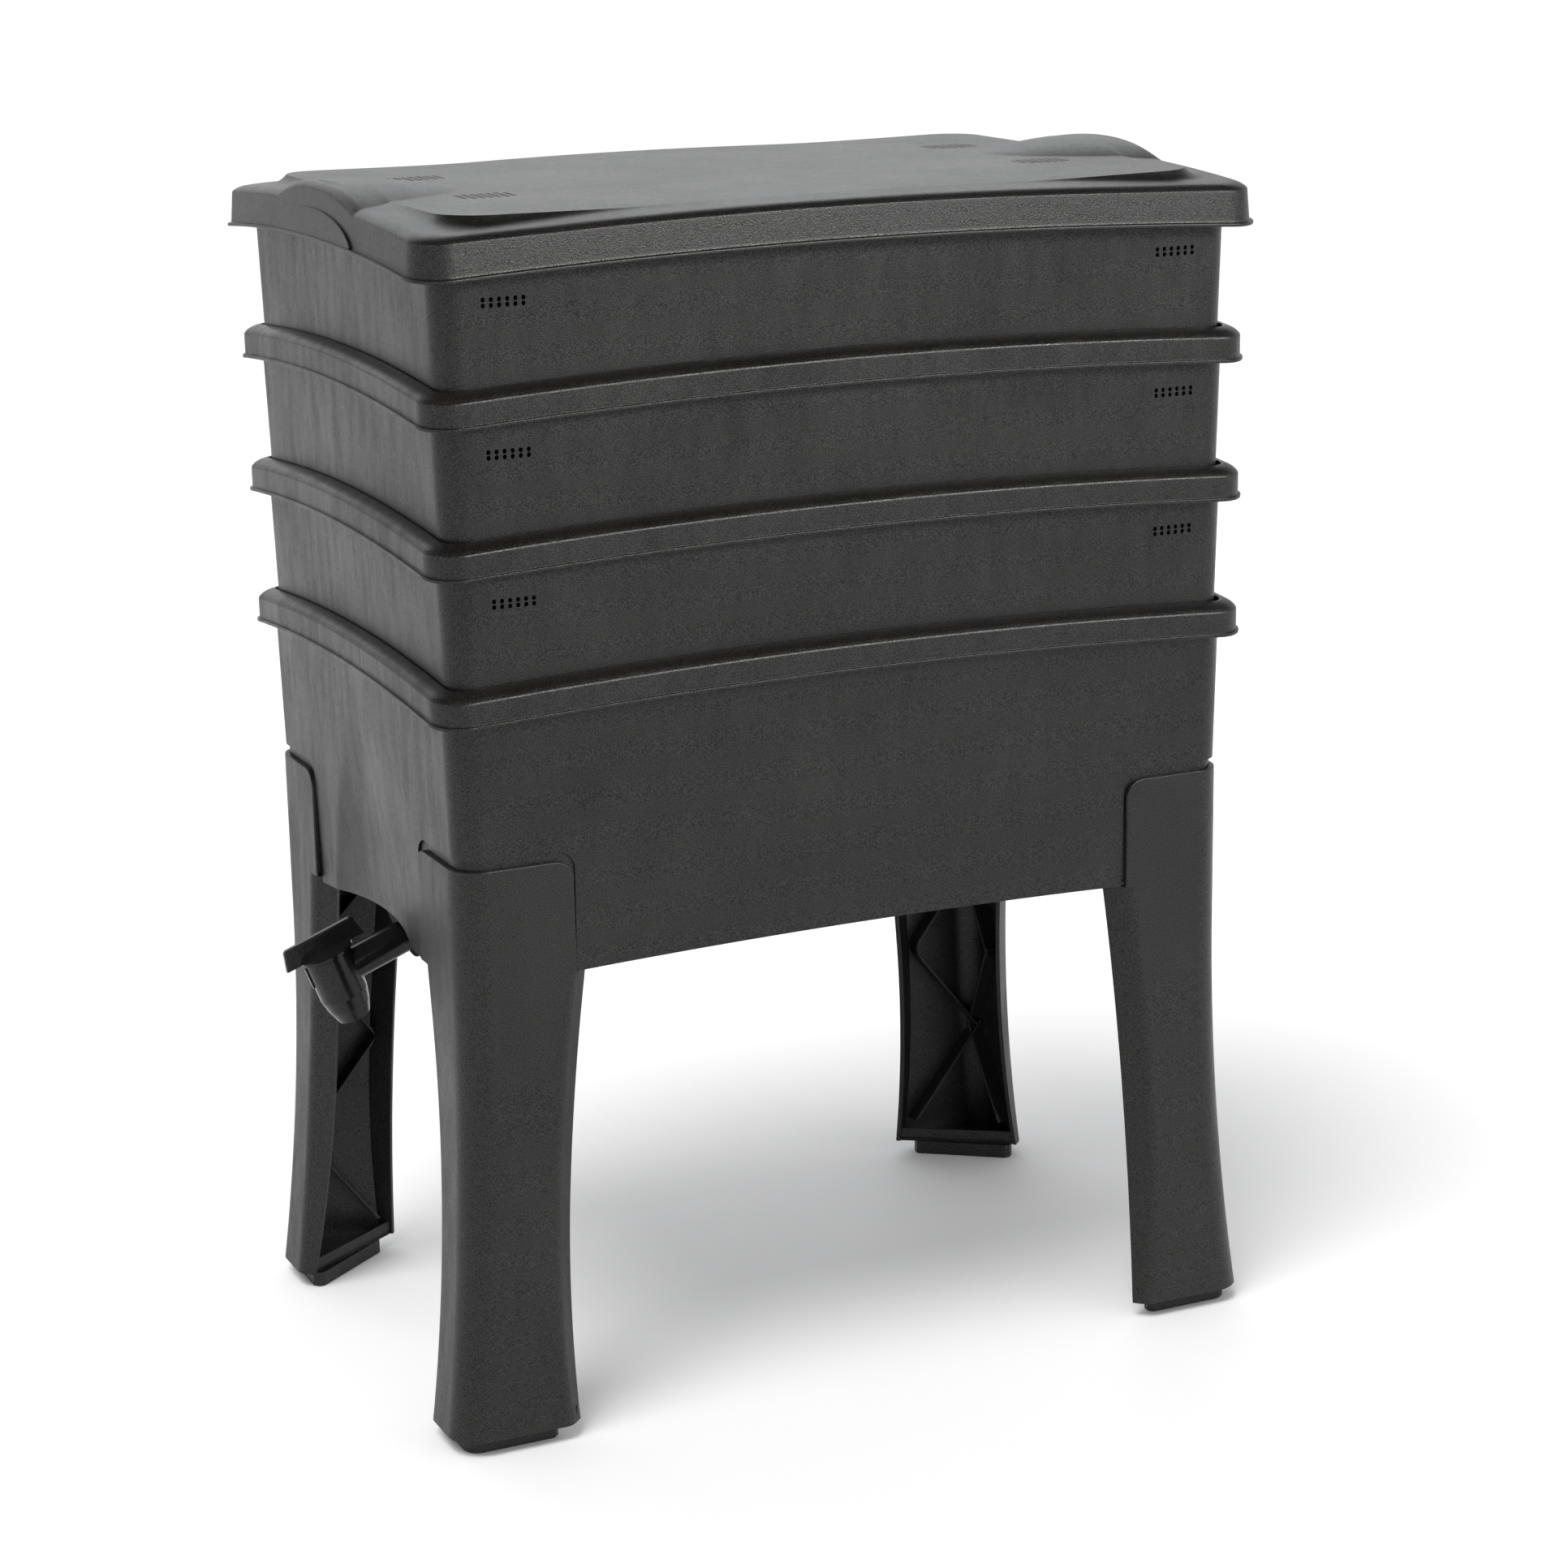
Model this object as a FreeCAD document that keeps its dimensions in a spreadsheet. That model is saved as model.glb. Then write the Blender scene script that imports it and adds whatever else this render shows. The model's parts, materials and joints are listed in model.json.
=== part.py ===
import FreeCAD, Part
import Sketcher
import math
import os
from FreeCAD import Vector as V, Placement, Rotation

# Four-legged stacking wormery: a collector base with a drain tap, three
# identical nesting trays and a vented lid.  Millimetres, +Z up, floor at z = 0,
# +X along the long side away from the tap, +Y towards the back.  The pieces are
# drawn about the middle of the four feet, then shifted along X as one, so that the
# origin is on the floor at the centre of the whole outline, tap included.

doc = FreeCAD.newDocument("wormery")
dims = doc.addObject("Spreadsheet::Sheet", "dims")

CELLS = [
    ("frame_shift", 19.327, "shift along X that centres the outline on the origin"),
    # plan of the rims
    ("rim_half_len", 269.5, "rim skirt, half length"),
    ("rim_half_wid", 182.0, "rim skirt, half width"),
    ("rim_corner", 21.0, "rim skirt, plan corner radius"),
    ("skirt_wall", 2.5, "rim skirt wall"),
    ("lip_out", 1.6, "bead at the foot of the skirt, how far it stands out"),
    ("lip_tall", 2.2, "bead height"),
    ("rim_tall", 17.8, "rim height above the bead"),
    ("rim_round", 8.0, "outer shoulder radius of the rim"),
    ("rim_top_wall", 2.5, "thickness of the rim top"),
    ("arch_long", 8.4, "rise of the rim from corner to middle of a long side"),
    ("arch_short", 9.0, "rise of the rim from corner to middle of a short side"),
    ("slab_reach", 320.0, "half length of the arched cutting forms"),
    # mouth and flange shared by base and trays
    ("mouth_half_len", 258.4, "mouth, half length"),
    ("mouth_half_wid", 170.9, "mouth, half width"),
    ("mouth_corner", 16.6, "mouth, corner radius"),
    ("mouth_deep", 4.5, "mouth step below the bead line"),
    ("flange_half_len", 261.2, "flange inside the skirt, half length"),
    ("flange_half_wid", 173.7, "flange inside the skirt, half width"),
    ("flange_corner", 19.4, "flange, corner radius"),
    # trays
    ("tray_half_len", 259.8, "tray wall at the bead line, half length"),
    ("tray_half_wid", 172.3, "tray wall at the bead line, half width"),
    ("tray_corner", 18.0, "tray wall corner radius"),
    ("tray_wall", 2.6, "tray wall"),
    ("tray_deep", 90.85, "tray floor underside below the bead line"),
    ("tray_floor", 3.0, "tray floor thickness"),
    ("tray_draft", 1.6, "tray wall draft, degrees"),
    ("support_deep", 4.8, "top of the support ribs below the bead line"),
    ("rib_reach", 8.0, "how far a support rib stands in from the wall"),
    ("rib_wide", 2.5, "support rib thickness"),
    ("rib_long_at", 150.0, "support ribs on the long walls, distance from the middle"),
    ("rib_short_at", 70.0, "support ribs on the short walls, distance from the middle"),
    ("hole_dia", 7.0, "floor hole diameter"),
    ("hole_pitch", 36.0, "floor hole pitch"),
    ("hole_cols", 14.0, "floor holes along the length"),
    ("hole_rows", 9.0, "floor holes across"),
    ("vent_at", 219.5, "tray vent centre from the middle"),
    ("vent_deep", 17.5, "tray vent centre below the bead line"),
    ("vent_wide", 31.0, "vent recess width"),
    ("vent_tall", 11.5, "vent recess height"),
    ("vent_sink", 0.8, "vent recess depth"),
    # heights of the bead lines at the plan corners
    ("base_line", 453.6, "bead line of the base"),
    ("tray_one_line", 539.95, "bead line of the bottom tray"),
    ("tray_two_line", 626.3, "bead line of the middle tray"),
    ("tray_three_line", 712.65, "bead line of the top tray"),
    ("lid_line", 710.7, "bead line of the lid"),
    # base
    ("base_half_len", 260.4, "base wall at its bead line, half length"),
    ("base_half_wid", 172.9, "base wall at its bead line, half width"),
    ("base_corner", 18.6, "base wall corner radius"),
    ("base_wall", 2.8, "base wall"),
    ("base_draft", 1.45, "base wall draft, degrees"),
    ("base_drop", 170.0, "base wall length before its lower edge is trimmed"),
    ("front_edge_mid", 298.0, "lower edge of the long walls, middle height"),
    ("front_edge_rad", 5106.0, "lower edge of the long walls, radius"),
    ("end_edge_mid", 296.0, "lower edge of the short walls, middle height"),
    ("end_edge_rad", 820.0, "lower edge of the short walls, radius"),
    ("corner_edge", 297.0, "lower edge at the corners, where the legs carry it"),
    ("pocket_x", 186.2, "leg pocket edge on the long wall"),
    ("pocket_y", 98.2, "leg pocket edge on the short wall"),
    ("pocket_top", 370.5, "leg pocket top"),
    ("pocket_round", 12.0, "leg pocket corner radius"),
    ("pocket_half_len", 256.6, "pocket face, half length"),
    ("pocket_half_wid", 169.1, "pocket face, half width"),
    ("scoop_rad", 260.0, "radius of the scoop over the tap"),
    ("scoop_tilt", 5.82, "tilt of the scoop, degrees"),
    ("scoop_at", 519.2, "scoop axis from the middle at the scoop top"),
    ("scoop_top", 405.0, "height where the scoop runs out"),
    ("floor_at", 303.0, "collector floor height over the sump edge"),
    ("floor_tilt", 1.76, "collector floor slope, degrees"),
    ("floor_wall", 3.0, "collector floor thickness"),
    ("sump_half", 45.0, "sump half width"),
    ("sump_wall", 3.0, "sump wall"),
    # legs and feet
    ("leg_half_len", 260.0, "leg outer face on the short side"),
    ("leg_half_wid", 172.5, "leg outer face on the long side"),
    ("leg_splay_x", 16.5, "leg splay at the bottom, along X"),
    ("leg_splay_y", 7.0, "leg splay at the bottom, along Y"),
    ("leg_knee", 262.0, "height where the splay starts"),
    ("leg_foot_z", 9.9, "leg bottom"),
    ("leg_shoulder", 294.3, "top of the leg below the base wall"),
    ("leg_top", 364.5, "leg top"),
    ("leg_wall", 3.0, "leg wall"),
    ("leg_corner", 20.0, "leg corner radius"),
    ("leg_plate_x", 187.5, "leg upper plate edge on the long side"),
    ("leg_plate_y", 99.5, "leg upper plate edge on the short side"),
    ("leg_flange", 13.0, "leg edge flange, upper part"),
    ("leg_flange_low", 8.0, "leg edge flange at the bottom"),
    ("leg_rib_tall", 12.0, "leg rib height"),
    ("leg_rib_wide", 2.0, "leg rib thickness"),
    ("foot_round", 10.0, "foot outer corner radius"),
    ("foot_in_x", 208.5, "foot inner end on the long side"),
    ("foot_out_x", 268.0, "foot outer face, along X"),
    ("foot_out_y", 171.3, "foot outer face, along Y"),
    ("foot_in_y", 125.0, "foot inner end on the short side"),
    # tap, in its own frame: Z up the barrel, X along the pipe into the base
    ("tap_x", -282.4, "tap centre, X"),
    ("tap_z", 260.4, "tap centre, Z"),
    ("tap_tilt", 21.0, "tap tilt, degrees"),
    ("barrel_rad", 15.5, "barrel radius"),
    ("barrel_up", 15.0, "barrel top"),
    ("barrel_down", 14.0, "barrel straight part below the pipe axis"),
    ("barrel_waist", 13.6, "barrel radius half way down its tapered end"),
    ("spout_rad", 10.5, "spout radius at its tip"),
    ("spout_down", 31.0, "spout tip below the pipe axis"),
    ("spout_bore", 8.5, "spout bore radius"),
    ("plug_bore", 11.25, "barrel bore radius"),
    ("plug_seat", 20.6, "barrel bore depth below the pipe axis"),
    ("pipe_rad", 10.25, "pipe radius"),
    ("pipe_bore", 7.0, "pipe bore radius"),
    ("flange_at", 50.0, "tap flange from the barrel axis"),
    ("flange_rad", 16.0, "tap flange radius"),
    ("flange_thick", 3.0, "tap flange thickness"),
    ("thread_rad", 10.48, "thread tail radius, half inch pipe thread"),
    ("tail_end", 76.0, "thread tail end from the barrel axis"),
    ("key_rad", 11.2, "key plug radius"),
    ("key_down", 20.3, "key plug end below the pipe axis"),
    ("key_bore", 6.5, "key plug bore radius"),
    ("key_bore_up", 7.0, "key plug bore end above the pipe axis"),
    ("port_rad", 6.0, "key side port radius"),
    ("collar_rad", 17.6, "key collar radius"),
    ("collar_low", 15.3, "key collar underside"),
    ("collar_high", 17.8, "key collar top"),
    ("fin_low", 15.9, "key fin underside"),
    ("fin_high", 29.2, "key fin top"),
    ("fin_foot", 27.3, "key fin half length at its foot"),
    ("fin_head", 24.2, "key fin half length at its head"),
    ("fin_wide", 4.5, "key fin thickness"),
    ("ring_major", 10.0, "O-ring centre line radius"),
    ("ring_minor", 1.2, "O-ring section radius"),
    ("ring_high", 11.5, "upper O-ring height"),
    ("ring_low", 13.5, "lower O-ring depth"),
    ("groove_half", 1.3, "O-ring groove half width"),
    ("groove_rad", 8.75, "O-ring groove floor radius"),
    ("washer_rad", 16.5, "washer radius"),
    ("washer_bore", 10.7, "washer bore radius"),
    ("washer_thick", 2.0, "washer thickness"),
    ("nut_flat", 15.0, "backnut, half across flats"),
    ("nut_thick", 8.0, "backnut thickness"),
    ("nut_bore", 10.6, "backnut bore radius"),
    ("panel_hole", 10.9, "tap hole radius in the sump panel"),
    # lid
    ("lid_half_len", 273.2, "lid skirt, half length"),
    ("lid_half_wid", 185.7, "lid skirt, half width"),
    ("lid_corner", 22.5, "lid skirt corner radius"),
    ("lid_wall", 1.8, "lid skirt wall"),
    ("lid_top", 21.6, "lid top above its bead line"),
    ("lid_plate", 1.5, "lid plate thickness"),
    ("lid_lip", 2.4, "lid bead, how far it stands out"),
    ("lid_round", 3.0, "lid top edge radius"),
    ("deck_half_len", 245.0, "raised deck, half length"),
    ("deck_half_wid", 158.0, "raised deck, half width"),
    ("deck_corner", 26.0, "raised deck corner radius"),
    ("deck_crown", 743.7, "raised deck, height at the middle"),
    ("deck_rad_long", 20000.0, "raised deck radius along its length"),
    ("deck_rad_wide", 20000.0, "raised deck radius across"),
    ("hump_half", 73.0, "end hump half width at the skirt"),
    ("hump_peak", 750.8, "end hump, height of the top of its ridge"),
    ("hump_rise", 7.8, "end hump, climb of the ridge from its tip"),
    ("hump_peak_in", 8.7, "end hump, distance of the ridge's top from the skirt"),
    ("hump_run", 92.0, "end hump, how far it runs in"),
    ("panel_half", 74.0, "end panel half width"),
    ("panel_tall", 22.5, "end panel height above its centre"),
    ("panel_centre", 2.3, "end panel, height of its centre above the bead line"),
    ("panel_out", 1.5, "end panel, how far it stands out"),
    ("grille_x", 186.0, "lid vent centre from the middle, along X"),
    ("grille_y", 61.5, "lid vent centre from the middle, along Y"),
]
for row, (alias, value, note) in enumerate(CELLS, start=1):
    dims.set("A%d" % row, note)
    dims.set("B%d" % row, str(value))
    dims.setAlias("B%d" % row, alias)
doc.recompute()


class Size:
    """A length with both its number and the sheet formula that drives it."""

    def __init__(self, formula, value):
        self.f = formula
        self.v = value

    def __add__(self, o):
        o = as_size(o)
        return Size("(%s + %s)" % (self.f, o.f), self.v + o.v)

    def __sub__(self, o):
        o = as_size(o)
        return Size("(%s - %s)" % (self.f, o.f), self.v - o.v)

    def __rsub__(self, o):
        return as_size(o) - self

    def __radd__(self, o):
        return as_size(o) + self

    def __mul__(self, k):
        return Size("(%s * %s)" % (self.f, k), self.v * k)

    def __neg__(self):
        return Size("(0 - %s)" % self.f, -self.v)


def as_size(x):
    if isinstance(x, Size):
        return x
    return Size("%.6g" % x, float(x))


def d(name):
    return Size("dims." + name, float(dims.get(name)))


def n(name):
    return float(dims.get(name))


ZERO = as_size(0.0)


def bind(obj, prop, size):
    obj.setExpression(prop, size.f)


def set_base(obj, x=None, y=None, z=None, rotation=None):
    """Place an object, with each coordinate bound to the sheet."""
    x, y, z = [as_size(c if c is not None else 0.0) for c in (x, y, z)]
    obj.Placement = Placement(V(x.v, y.v, z.v), rotation or Rotation())
    for axis, c in (("x", x), ("y", y), ("z", z)):
        if c.f != "0":
            bind(obj, "Placement.Base." + axis, c)


def rounded_plan(name, a, b, r, z):
    """Sketch of a rectangle with rounded corners, half sizes a and b, at height z."""
    a, b, r, z = [as_size(c) for c in (a, b, r, z)]
    s = doc.addObject("Sketcher::SketchObject", name)
    set_base(s, z=z)
    A, B, R = a.v, b.v, r.v
    up = V(0, 0, 1)

    def arc(cx, cy, t0):
        return Part.ArcOfCircle(Part.Circle(V(cx, cy, 0), up, R), math.radians(t0), math.radians(t0 + 90))

    def seg(x0, y0, x1, y1):
        return Part.LineSegment(V(x0, y0, 0), V(x1, y1, 0))

    s.addGeometry([
        seg(-A + R, -B, A - R, -B), arc(A - R, -B + R, 270),
        seg(A, -B + R, A, B - R), arc(A - R, B - R, 0),
        seg(A - R, B, -A + R, B), arc(-A + R, B - R, 90),
        seg(-A, B - R, -A, -B + R), arc(-A + R, -B + R, 180)], False)
    C = Sketcher.Constraint
    cons = [C("Tangent", i, 2, (i + 1) % 8, 1) for i in range(8)]
    cons += [C("Horizontal", 0), C("Horizontal", 4), C("Vertical", 2), C("Vertical", 6),
             C("Equal", 1, 3), C("Equal", 3, 5), C("Equal", 5, 7)]
    s.addConstraint(cons)
    for cname, con, size in (
            ("corner", C("Radius", 1, R), r),
            ("right", C("DistanceX", -1, 1, 2, 1, A), a),
            ("left", C("DistanceX", 6, 1, -1, 1, A), a),
            ("front", C("DistanceY", 0, 1, -1, 1, B), b),
            ("back", C("DistanceY", -1, 1, 4, 1, B), b)):
        i = s.addConstraint(con)
        s.renameConstraint(i, cname)
        bind(s, "Constraints." + cname, size)
    return s


def pin_vertex(s, geo, pos, x, y, tag):
    """Fix one vertex of a sketch at x, y, each bound to the sheet."""
    C = Sketcher.Constraint
    for axis, kind, size, line in (("x", "DistanceX", x, -2), ("y", "DistanceY", y, -1)):
        if abs(size.v) < 1e-9:
            s.addConstraint(C("PointOnObject", geo, pos, line))
            continue
        if size.v > 0:
            i = s.addConstraint(C(kind, -1, 1, geo, pos, size.v))
            f = size
        else:
            i = s.addConstraint(C(kind, geo, pos, -1, 1, -size.v))
            f = -size
        cname = "%s%s" % (tag, axis)
        s.renameConstraint(i, cname)
        bind(s, "Constraints." + cname, f)


def polygon_into(s, points):
    """Closed polygon, every vertex bound to the sheet."""
    pts = [(as_size(x), as_size(y)) for x, y in points]
    k = len(pts)
    s.addGeometry([Part.LineSegment(V(pts[i][0].v, pts[i][1].v, 0),
                                    V(pts[(i + 1) % k][0].v, pts[(i + 1) % k][1].v, 0))
                   for i in range(k)], False)
    s.addConstraint([Sketcher.Constraint("Coincident", i, 2, (i + 1) % k, 1) for i in range(k)])
    for i, (x, y) in enumerate(pts):
        pin_vertex(s, i, 1, x, y, "p%d" % i)
    return s


ON_XZ = Rotation(V(1, 0, 0), 90)          # sketch x -> X, sketch y -> Z, normal -> -Y
ON_YZ = Rotation(0.5, 0.5, 0.5, 0.5)      # sketch x -> Y, sketch y -> Z, normal -> +X


def polygon(name, points, rotation=None, y=None, x=None, z=None):
    s = doc.addObject("Sketcher::SketchObject", name)
    set_base(s, x, y, z, rotation)
    return polygon_into(s, points)


def extrude(name, base, length, direction, taper=None, both=False):
    e = doc.addObject("Part::Extrusion", name)
    length = as_size(length)
    e.Base = base
    e.DirMode = "Custom"
    e.Dir = direction
    e.Solid = True
    e.Symmetric = both
    e.LengthFwd = length.v
    bind(e, "LengthFwd", length)
    if taper is not None:
        e.TaperAngle = taper.v
        bind(e, "TaperAngle", taper)
    return e


def prism(name, a, b, r, z0, z1):
    """Upright prism of rounded plan from height z0 to z1."""
    z0, z1 = as_size(z0), as_size(z1)
    return extrude(name, rounded_plan(name + "_plan", a, b, r, z0), z1 - z0, V(0, 0, 1))


def tapered(name, a, b, r, z_top, deep, draft):
    """Rounded plan at z_top, drawn down and in by the draft angle."""
    return extrude(name, rounded_plan(name + "_plan", a, b, r, z_top), deep, V(0, 0, -1), -draft)


def cut(name, base, tool):
    o = doc.addObject("Part::Cut", name)
    o.Base, o.Tool = base, tool
    return o


def common(name, base, tool):
    o = doc.addObject("Part::Common", name)
    o.Base, o.Tool = base, tool
    return o


def fuse(name, shapes):
    o = doc.addObject("Part::MultiFuse", name)
    o.Shapes = shapes
    return o


def box(name, x0, y0, z0, lx, ly, lz):
    o = doc.addObject("Part::Box", name)
    for prop, size in (("Length", lx), ("Width", ly), ("Height", lz)):
        size = as_size(size)
        setattr(o, prop, size.v)
        bind(o, prop, size)
    set_base(o, x0, y0, z0)
    return o


def cylinder(name, radius, height, base, rotation):
    o = doc.addObject("Part::Cylinder", name)
    radius, height = as_size(radius), as_size(height)
    o.Radius, o.Height = radius.v, height.v
    bind(o, "Radius", radius)
    bind(o, "Height", height)
    set_base(o, base[0], base[1], base[2], rotation)
    return o


# Radii of the double arch: the bead line of every rim lies on one shallow
# torus, lowest at the plan corners.
A_LEN, B_WID = n("rim_half_len"), n("rim_half_wid")
ARCH_R_LONG = A_LEN ** 2 / (2 * n("arch_long")) + n("arch_long") / 2
ARCH_R_SHORT = B_WID ** 2 / (2 * n("arch_short")) + n("arch_short") / 2
f_long = "(pow(dims.rim_half_len; 2) / (2 * dims.arch_long) + dims.arch_long / 2)"
f_short = "(pow(dims.rim_half_wid; 2) / (2 * dims.arch_short) + dims.arch_short / 2)"
R_LONG = Size(f_long, ARCH_R_LONG)
R_SHORT = Size(f_short, ARCH_R_SHORT)
ARCH = d("arch_long") + d("arch_short")


def arch_height(x, y):
    """Height of the arched surface over its own plan corners."""
    r = ARCH_R_SHORT - (ARCH_R_LONG - math.sqrt(ARCH_R_LONG ** 2 - x * x))
    return n("arch_long") + n("arch_short") - ARCH_R_SHORT + math.sqrt(r * r - y * y)


def arched(name, low, high, r_long=None, r_short=None, crown=None):
    """Solid between two arched surfaces; low and high are heights at the corners."""
    r_long = r_long or R_LONG
    r_short = r_short or R_SHORT
    crown = crown if crown is not None else ARCH
    low, high, reach = as_size(low) + crown, as_size(high) + crown, d("slab_reach")
    s = doc.addObject("Sketcher::SketchObject", name + "_profile")
    s.Placement = Placement(V(0, 0, 0), ON_XZ)
    R = r_long.v
    half = math.asin(reach.v / R)
    arcs = []
    for top in (high.v, low.v):
        arcs.append(Part.ArcOfCircle(Part.Circle(V(0, top - R, 0), V(0, 0, 1), R),
                                     math.pi / 2 - half, math.pi / 2 + half))
    drop = R - math.sqrt(R * R - reach.v ** 2)
    s.addGeometry(arcs + [
        Part.LineSegment(V(-reach.v, high.v - drop, 0), V(-reach.v, low.v - drop, 0)),
        Part.LineSegment(V(reach.v, low.v - drop, 0), V(reach.v, high.v - drop, 0))], False)
    C = Sketcher.Constraint
    s.addConstraint([C("Coincident", 0, 2, 2, 1), C("Coincident", 2, 2, 1, 2),
                     C("Coincident", 1, 1, 3, 1), C("Coincident", 3, 2, 0, 1),
                     C("Vertical", 2), C("Vertical", 3),
                     C("PointOnObject", 0, 3, -2), C("PointOnObject", 1, 3, -2)])
    for cname, con, size in (
            ("radius_high", C("Radius", 0, R), r_long),
            ("radius_low", C("Radius", 1, R), r_long),
            ("centre_high", C("DistanceY", 0, 3, -1, 1, R - high.v), r_long - high),
            ("centre_low", C("DistanceY", 1, 3, -1, 1, R - low.v), r_long - low),
            ("reach_left", C("DistanceX", 2, 1, -1, 1, reach.v), reach),
            ("reach_right", C("DistanceX", -1, 1, 3, 1, reach.v), reach)):
        i = s.addConstraint(con)
        s.renameConstraint(i, cname)
        bind(s, "Constraints." + cname, size)
    rev = doc.addObject("Part::Revolution", name)
    rev.Source = s
    rev.Axis = V(1, 0, 0)
    rev.Base = V(0, 0, high.v - r_short.v)
    bind(rev, "Base.z", high - r_short)
    rev.Angle = 22
    rev.Symmetric = True
    rev.Solid = True
    return rev


def pick_edges(obj, test):
    found = []
    for i, e in enumerate(obj.Shape.Edges, start=1):
        c = e.valueAt((e.FirstParameter + e.LastParameter) / 2)
        if test(e, c):
            found.append(i)
    return found


def fillet(name, base, radius, test):
    doc.recompute()
    ids = pick_edges(base, test)
    if not ids:
        raise RuntimeError("no edge found for " + name)
    f = doc.addObject("Part::Fillet", name)
    f.Base = base
    f.Edges = [(i, radius, radius) for i in ids]
    return f


# ---------------------------------------------------------------------------
# Rim: skirt with a bead along its foot, rounded shoulder, hollow underneath
# ---------------------------------------------------------------------------

def rim(tag):
    block = common(tag + "_rim_block",
                   prism(tag + "_rim_prism", d("rim_half_len"), d("rim_half_wid"), d("rim_corner"), -40, 60),
                   arched(tag + "_rim_slab", -d("lip_tall") * 0.5, d("rim_tall")))
    top = n("rim_tall")
    rounded = fillet(tag + "_rim_round", block, n("rim_round"),
                     lambda e, c: c.z > arch_height(c.x, c.y) + top - 1.0
                     and (abs(abs(c.x) - A_LEN) < 30 or abs(abs(c.y) - B_WID) < 30))
    lip = common(tag + "_lip",
                 prism(tag + "_lip_prism", d("rim_half_len") + d("lip_out"), d("rim_half_wid") + d("lip_out"),
                       d("rim_corner") + d("lip_out"), -40, 60),
                 arched(tag + "_lip_slab", -d("lip_tall"), ZERO))
    solid = fuse(tag + "_rim_solid", [rounded, lip])
    gap = cut(tag + "_rim_gap",
              prism(tag + "_gap_out", d("rim_half_len") - d("skirt_wall"), d("rim_half_wid") - d("skirt_wall"),
                    d("rim_corner") - d("skirt_wall"), -60, 60),
              prism(tag + "_gap_in", d("flange_half_len"), d("flange_half_wid"), d("flange_corner"), -61, 61))
    hollow = common(tag + "_rim_hollow", gap, arched(tag + "_hollow_slab", -50, d("rim_tall") - d("rim_top_wall")))
    return cut(tag + "_rim", solid, hollow)


def support_ribs(tag, half_len, half_wid, corner, wall, draft, deep, outer_form):
    """Upright ribs along the walls that carry the tray above."""
    top = -d("support_deep")
    tall = deep - d("support_deep")
    plates = []
    for i, x in enumerate((-d("rib_long_at"), ZERO, d("rib_long_at"))):
        plates.append(box("%s_rib_y%d" % (tag, i), x - d("rib_wide") * 0.5, -half_wid, -deep,
                          d("rib_wide"), half_wid * 2, tall))
    for i, y in enumerate((-d("rib_short_at"), d("rib_short_at"))):
        plates.append(box("%s_rib_x%d" % (tag, i), -half_len, y - d("rib_wide") * 0.5, -deep,
                          half_len * 2, d("rib_wide"), tall))
    inset = wall + d("rib_reach")
    core = tapered(tag + "_rib_core", half_len - inset, half_wid - inset, corner - inset * 0.5,
                   ZERO, deep + 5, draft)
    ribs = cut(tag + "_ribs_open", fuse(tag + "_rib_plates", plates), core)
    return common(tag + "_ribs", ribs, outer_form)


def tray(label, line):
    """One tray, drawn with its bead line corner at height zero."""
    tag = label
    hl, hw, rc = d("tray_half_len"), d("tray_half_wid"), d("tray_corner")
    up = as_size(12)
    grow = as_size(12 * math.tan(math.radians(n("tray_draft"))))
    deep = d("tray_deep")
    outer = tapered(tag + "_outer", hl + grow, hw + grow, rc + grow, up, deep + up, d("tray_draft"))
    w = d("tray_wall")
    inner = tapered(tag + "_inner", hl - w, hw - w, rc - w, ZERO, deep - d("tray_floor"), d("tray_draft"))
    mouth = prism(tag + "_mouth", d("mouth_half_len"), d("mouth_half_wid"), d("mouth_corner"), -d("mouth_deep"), 70)
    half = w * 0.5
    rib_form = tapered(tag + "_rib_form", hl - half, hw - half, rc - half, ZERO, deep, d("tray_draft"))
    ribs = support_ribs(tag, hl, hw, rc, w, d("tray_draft"), deep - 1, rib_form)
    shell = cut(tag + "_shell", fuse(tag + "_solid", [rim(tag), outer]), fuse(tag + "_room", [inner, mouth]))
    whole = fuse(tag + "_ribbed", [shell, ribs])

    # floor holes, and the vent in each end of both long walls
    holes = []
    rad, pitch = n("hole_dia") / 2, n("hole_pitch")
    cols, rows = int(n("hole_cols")), int(n("hole_rows"))
    for i in range(cols):
        for j in range(rows):
            x = (i - (cols - 1) / 2) * pitch
            y = (j - (rows - 1) / 2) * pitch
            holes.append(Part.makeCylinder(rad, 12, V(x, y, -n("tray_deep") - 5)))
    face_y = n("tray_half_wid") - n("vent_deep") * math.tan(math.radians(n("tray_draft")))
    vw, vt, sink = n("vent_wide"), n("vent_tall"), n("vent_sink")
    for sx in (-1, 1):
        for sy in (-1, 1):
            cx, cz = sx * n("vent_at"), -n("vent_deep")
            y0 = sy * (face_y - sink)
            y1 = sy * (face_y + 3)
            pan = Part.makeBox(vw, abs(y1 - y0), vt, V(cx - vw / 2, min(y0, y1), cz - vt / 2))
            pan = pan.makeFillet(3.0, [e for e in pan.Edges if abs(e.tangentAt(e.FirstParameter).y) > 0.9])
            holes.append(pan)
            for i in range(6):
                for j in range(2):
                    hx = cx + (i - 2.5) * 4.6
                    hz = cz + (j - 0.5) * 4.2
                    holes.append(Part.makeBox(2.2, 12, 2.6, V(hx - 1.1, min(y0 - sy * 8, y0 - sy * 8 + sy * 12), hz - 1.3)))
    tool = doc.addObject("Part::Feature", tag + "_openings")
    tool.Shape = Part.makeCompound(holes)
    result = cut(tag, whole, tool)
    result.Label = label
    set_base(result, x=d("frame_shift"), z=line)
    return result


trays = [tray("tray_bottom", d("tray_one_line")),
         tray("tray_middle", d("tray_two_line")),
         tray("tray_top", d("tray_three_line"))]

# ---------------------------------------------------------------------------
# Collector base
# ---------------------------------------------------------------------------

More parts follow.
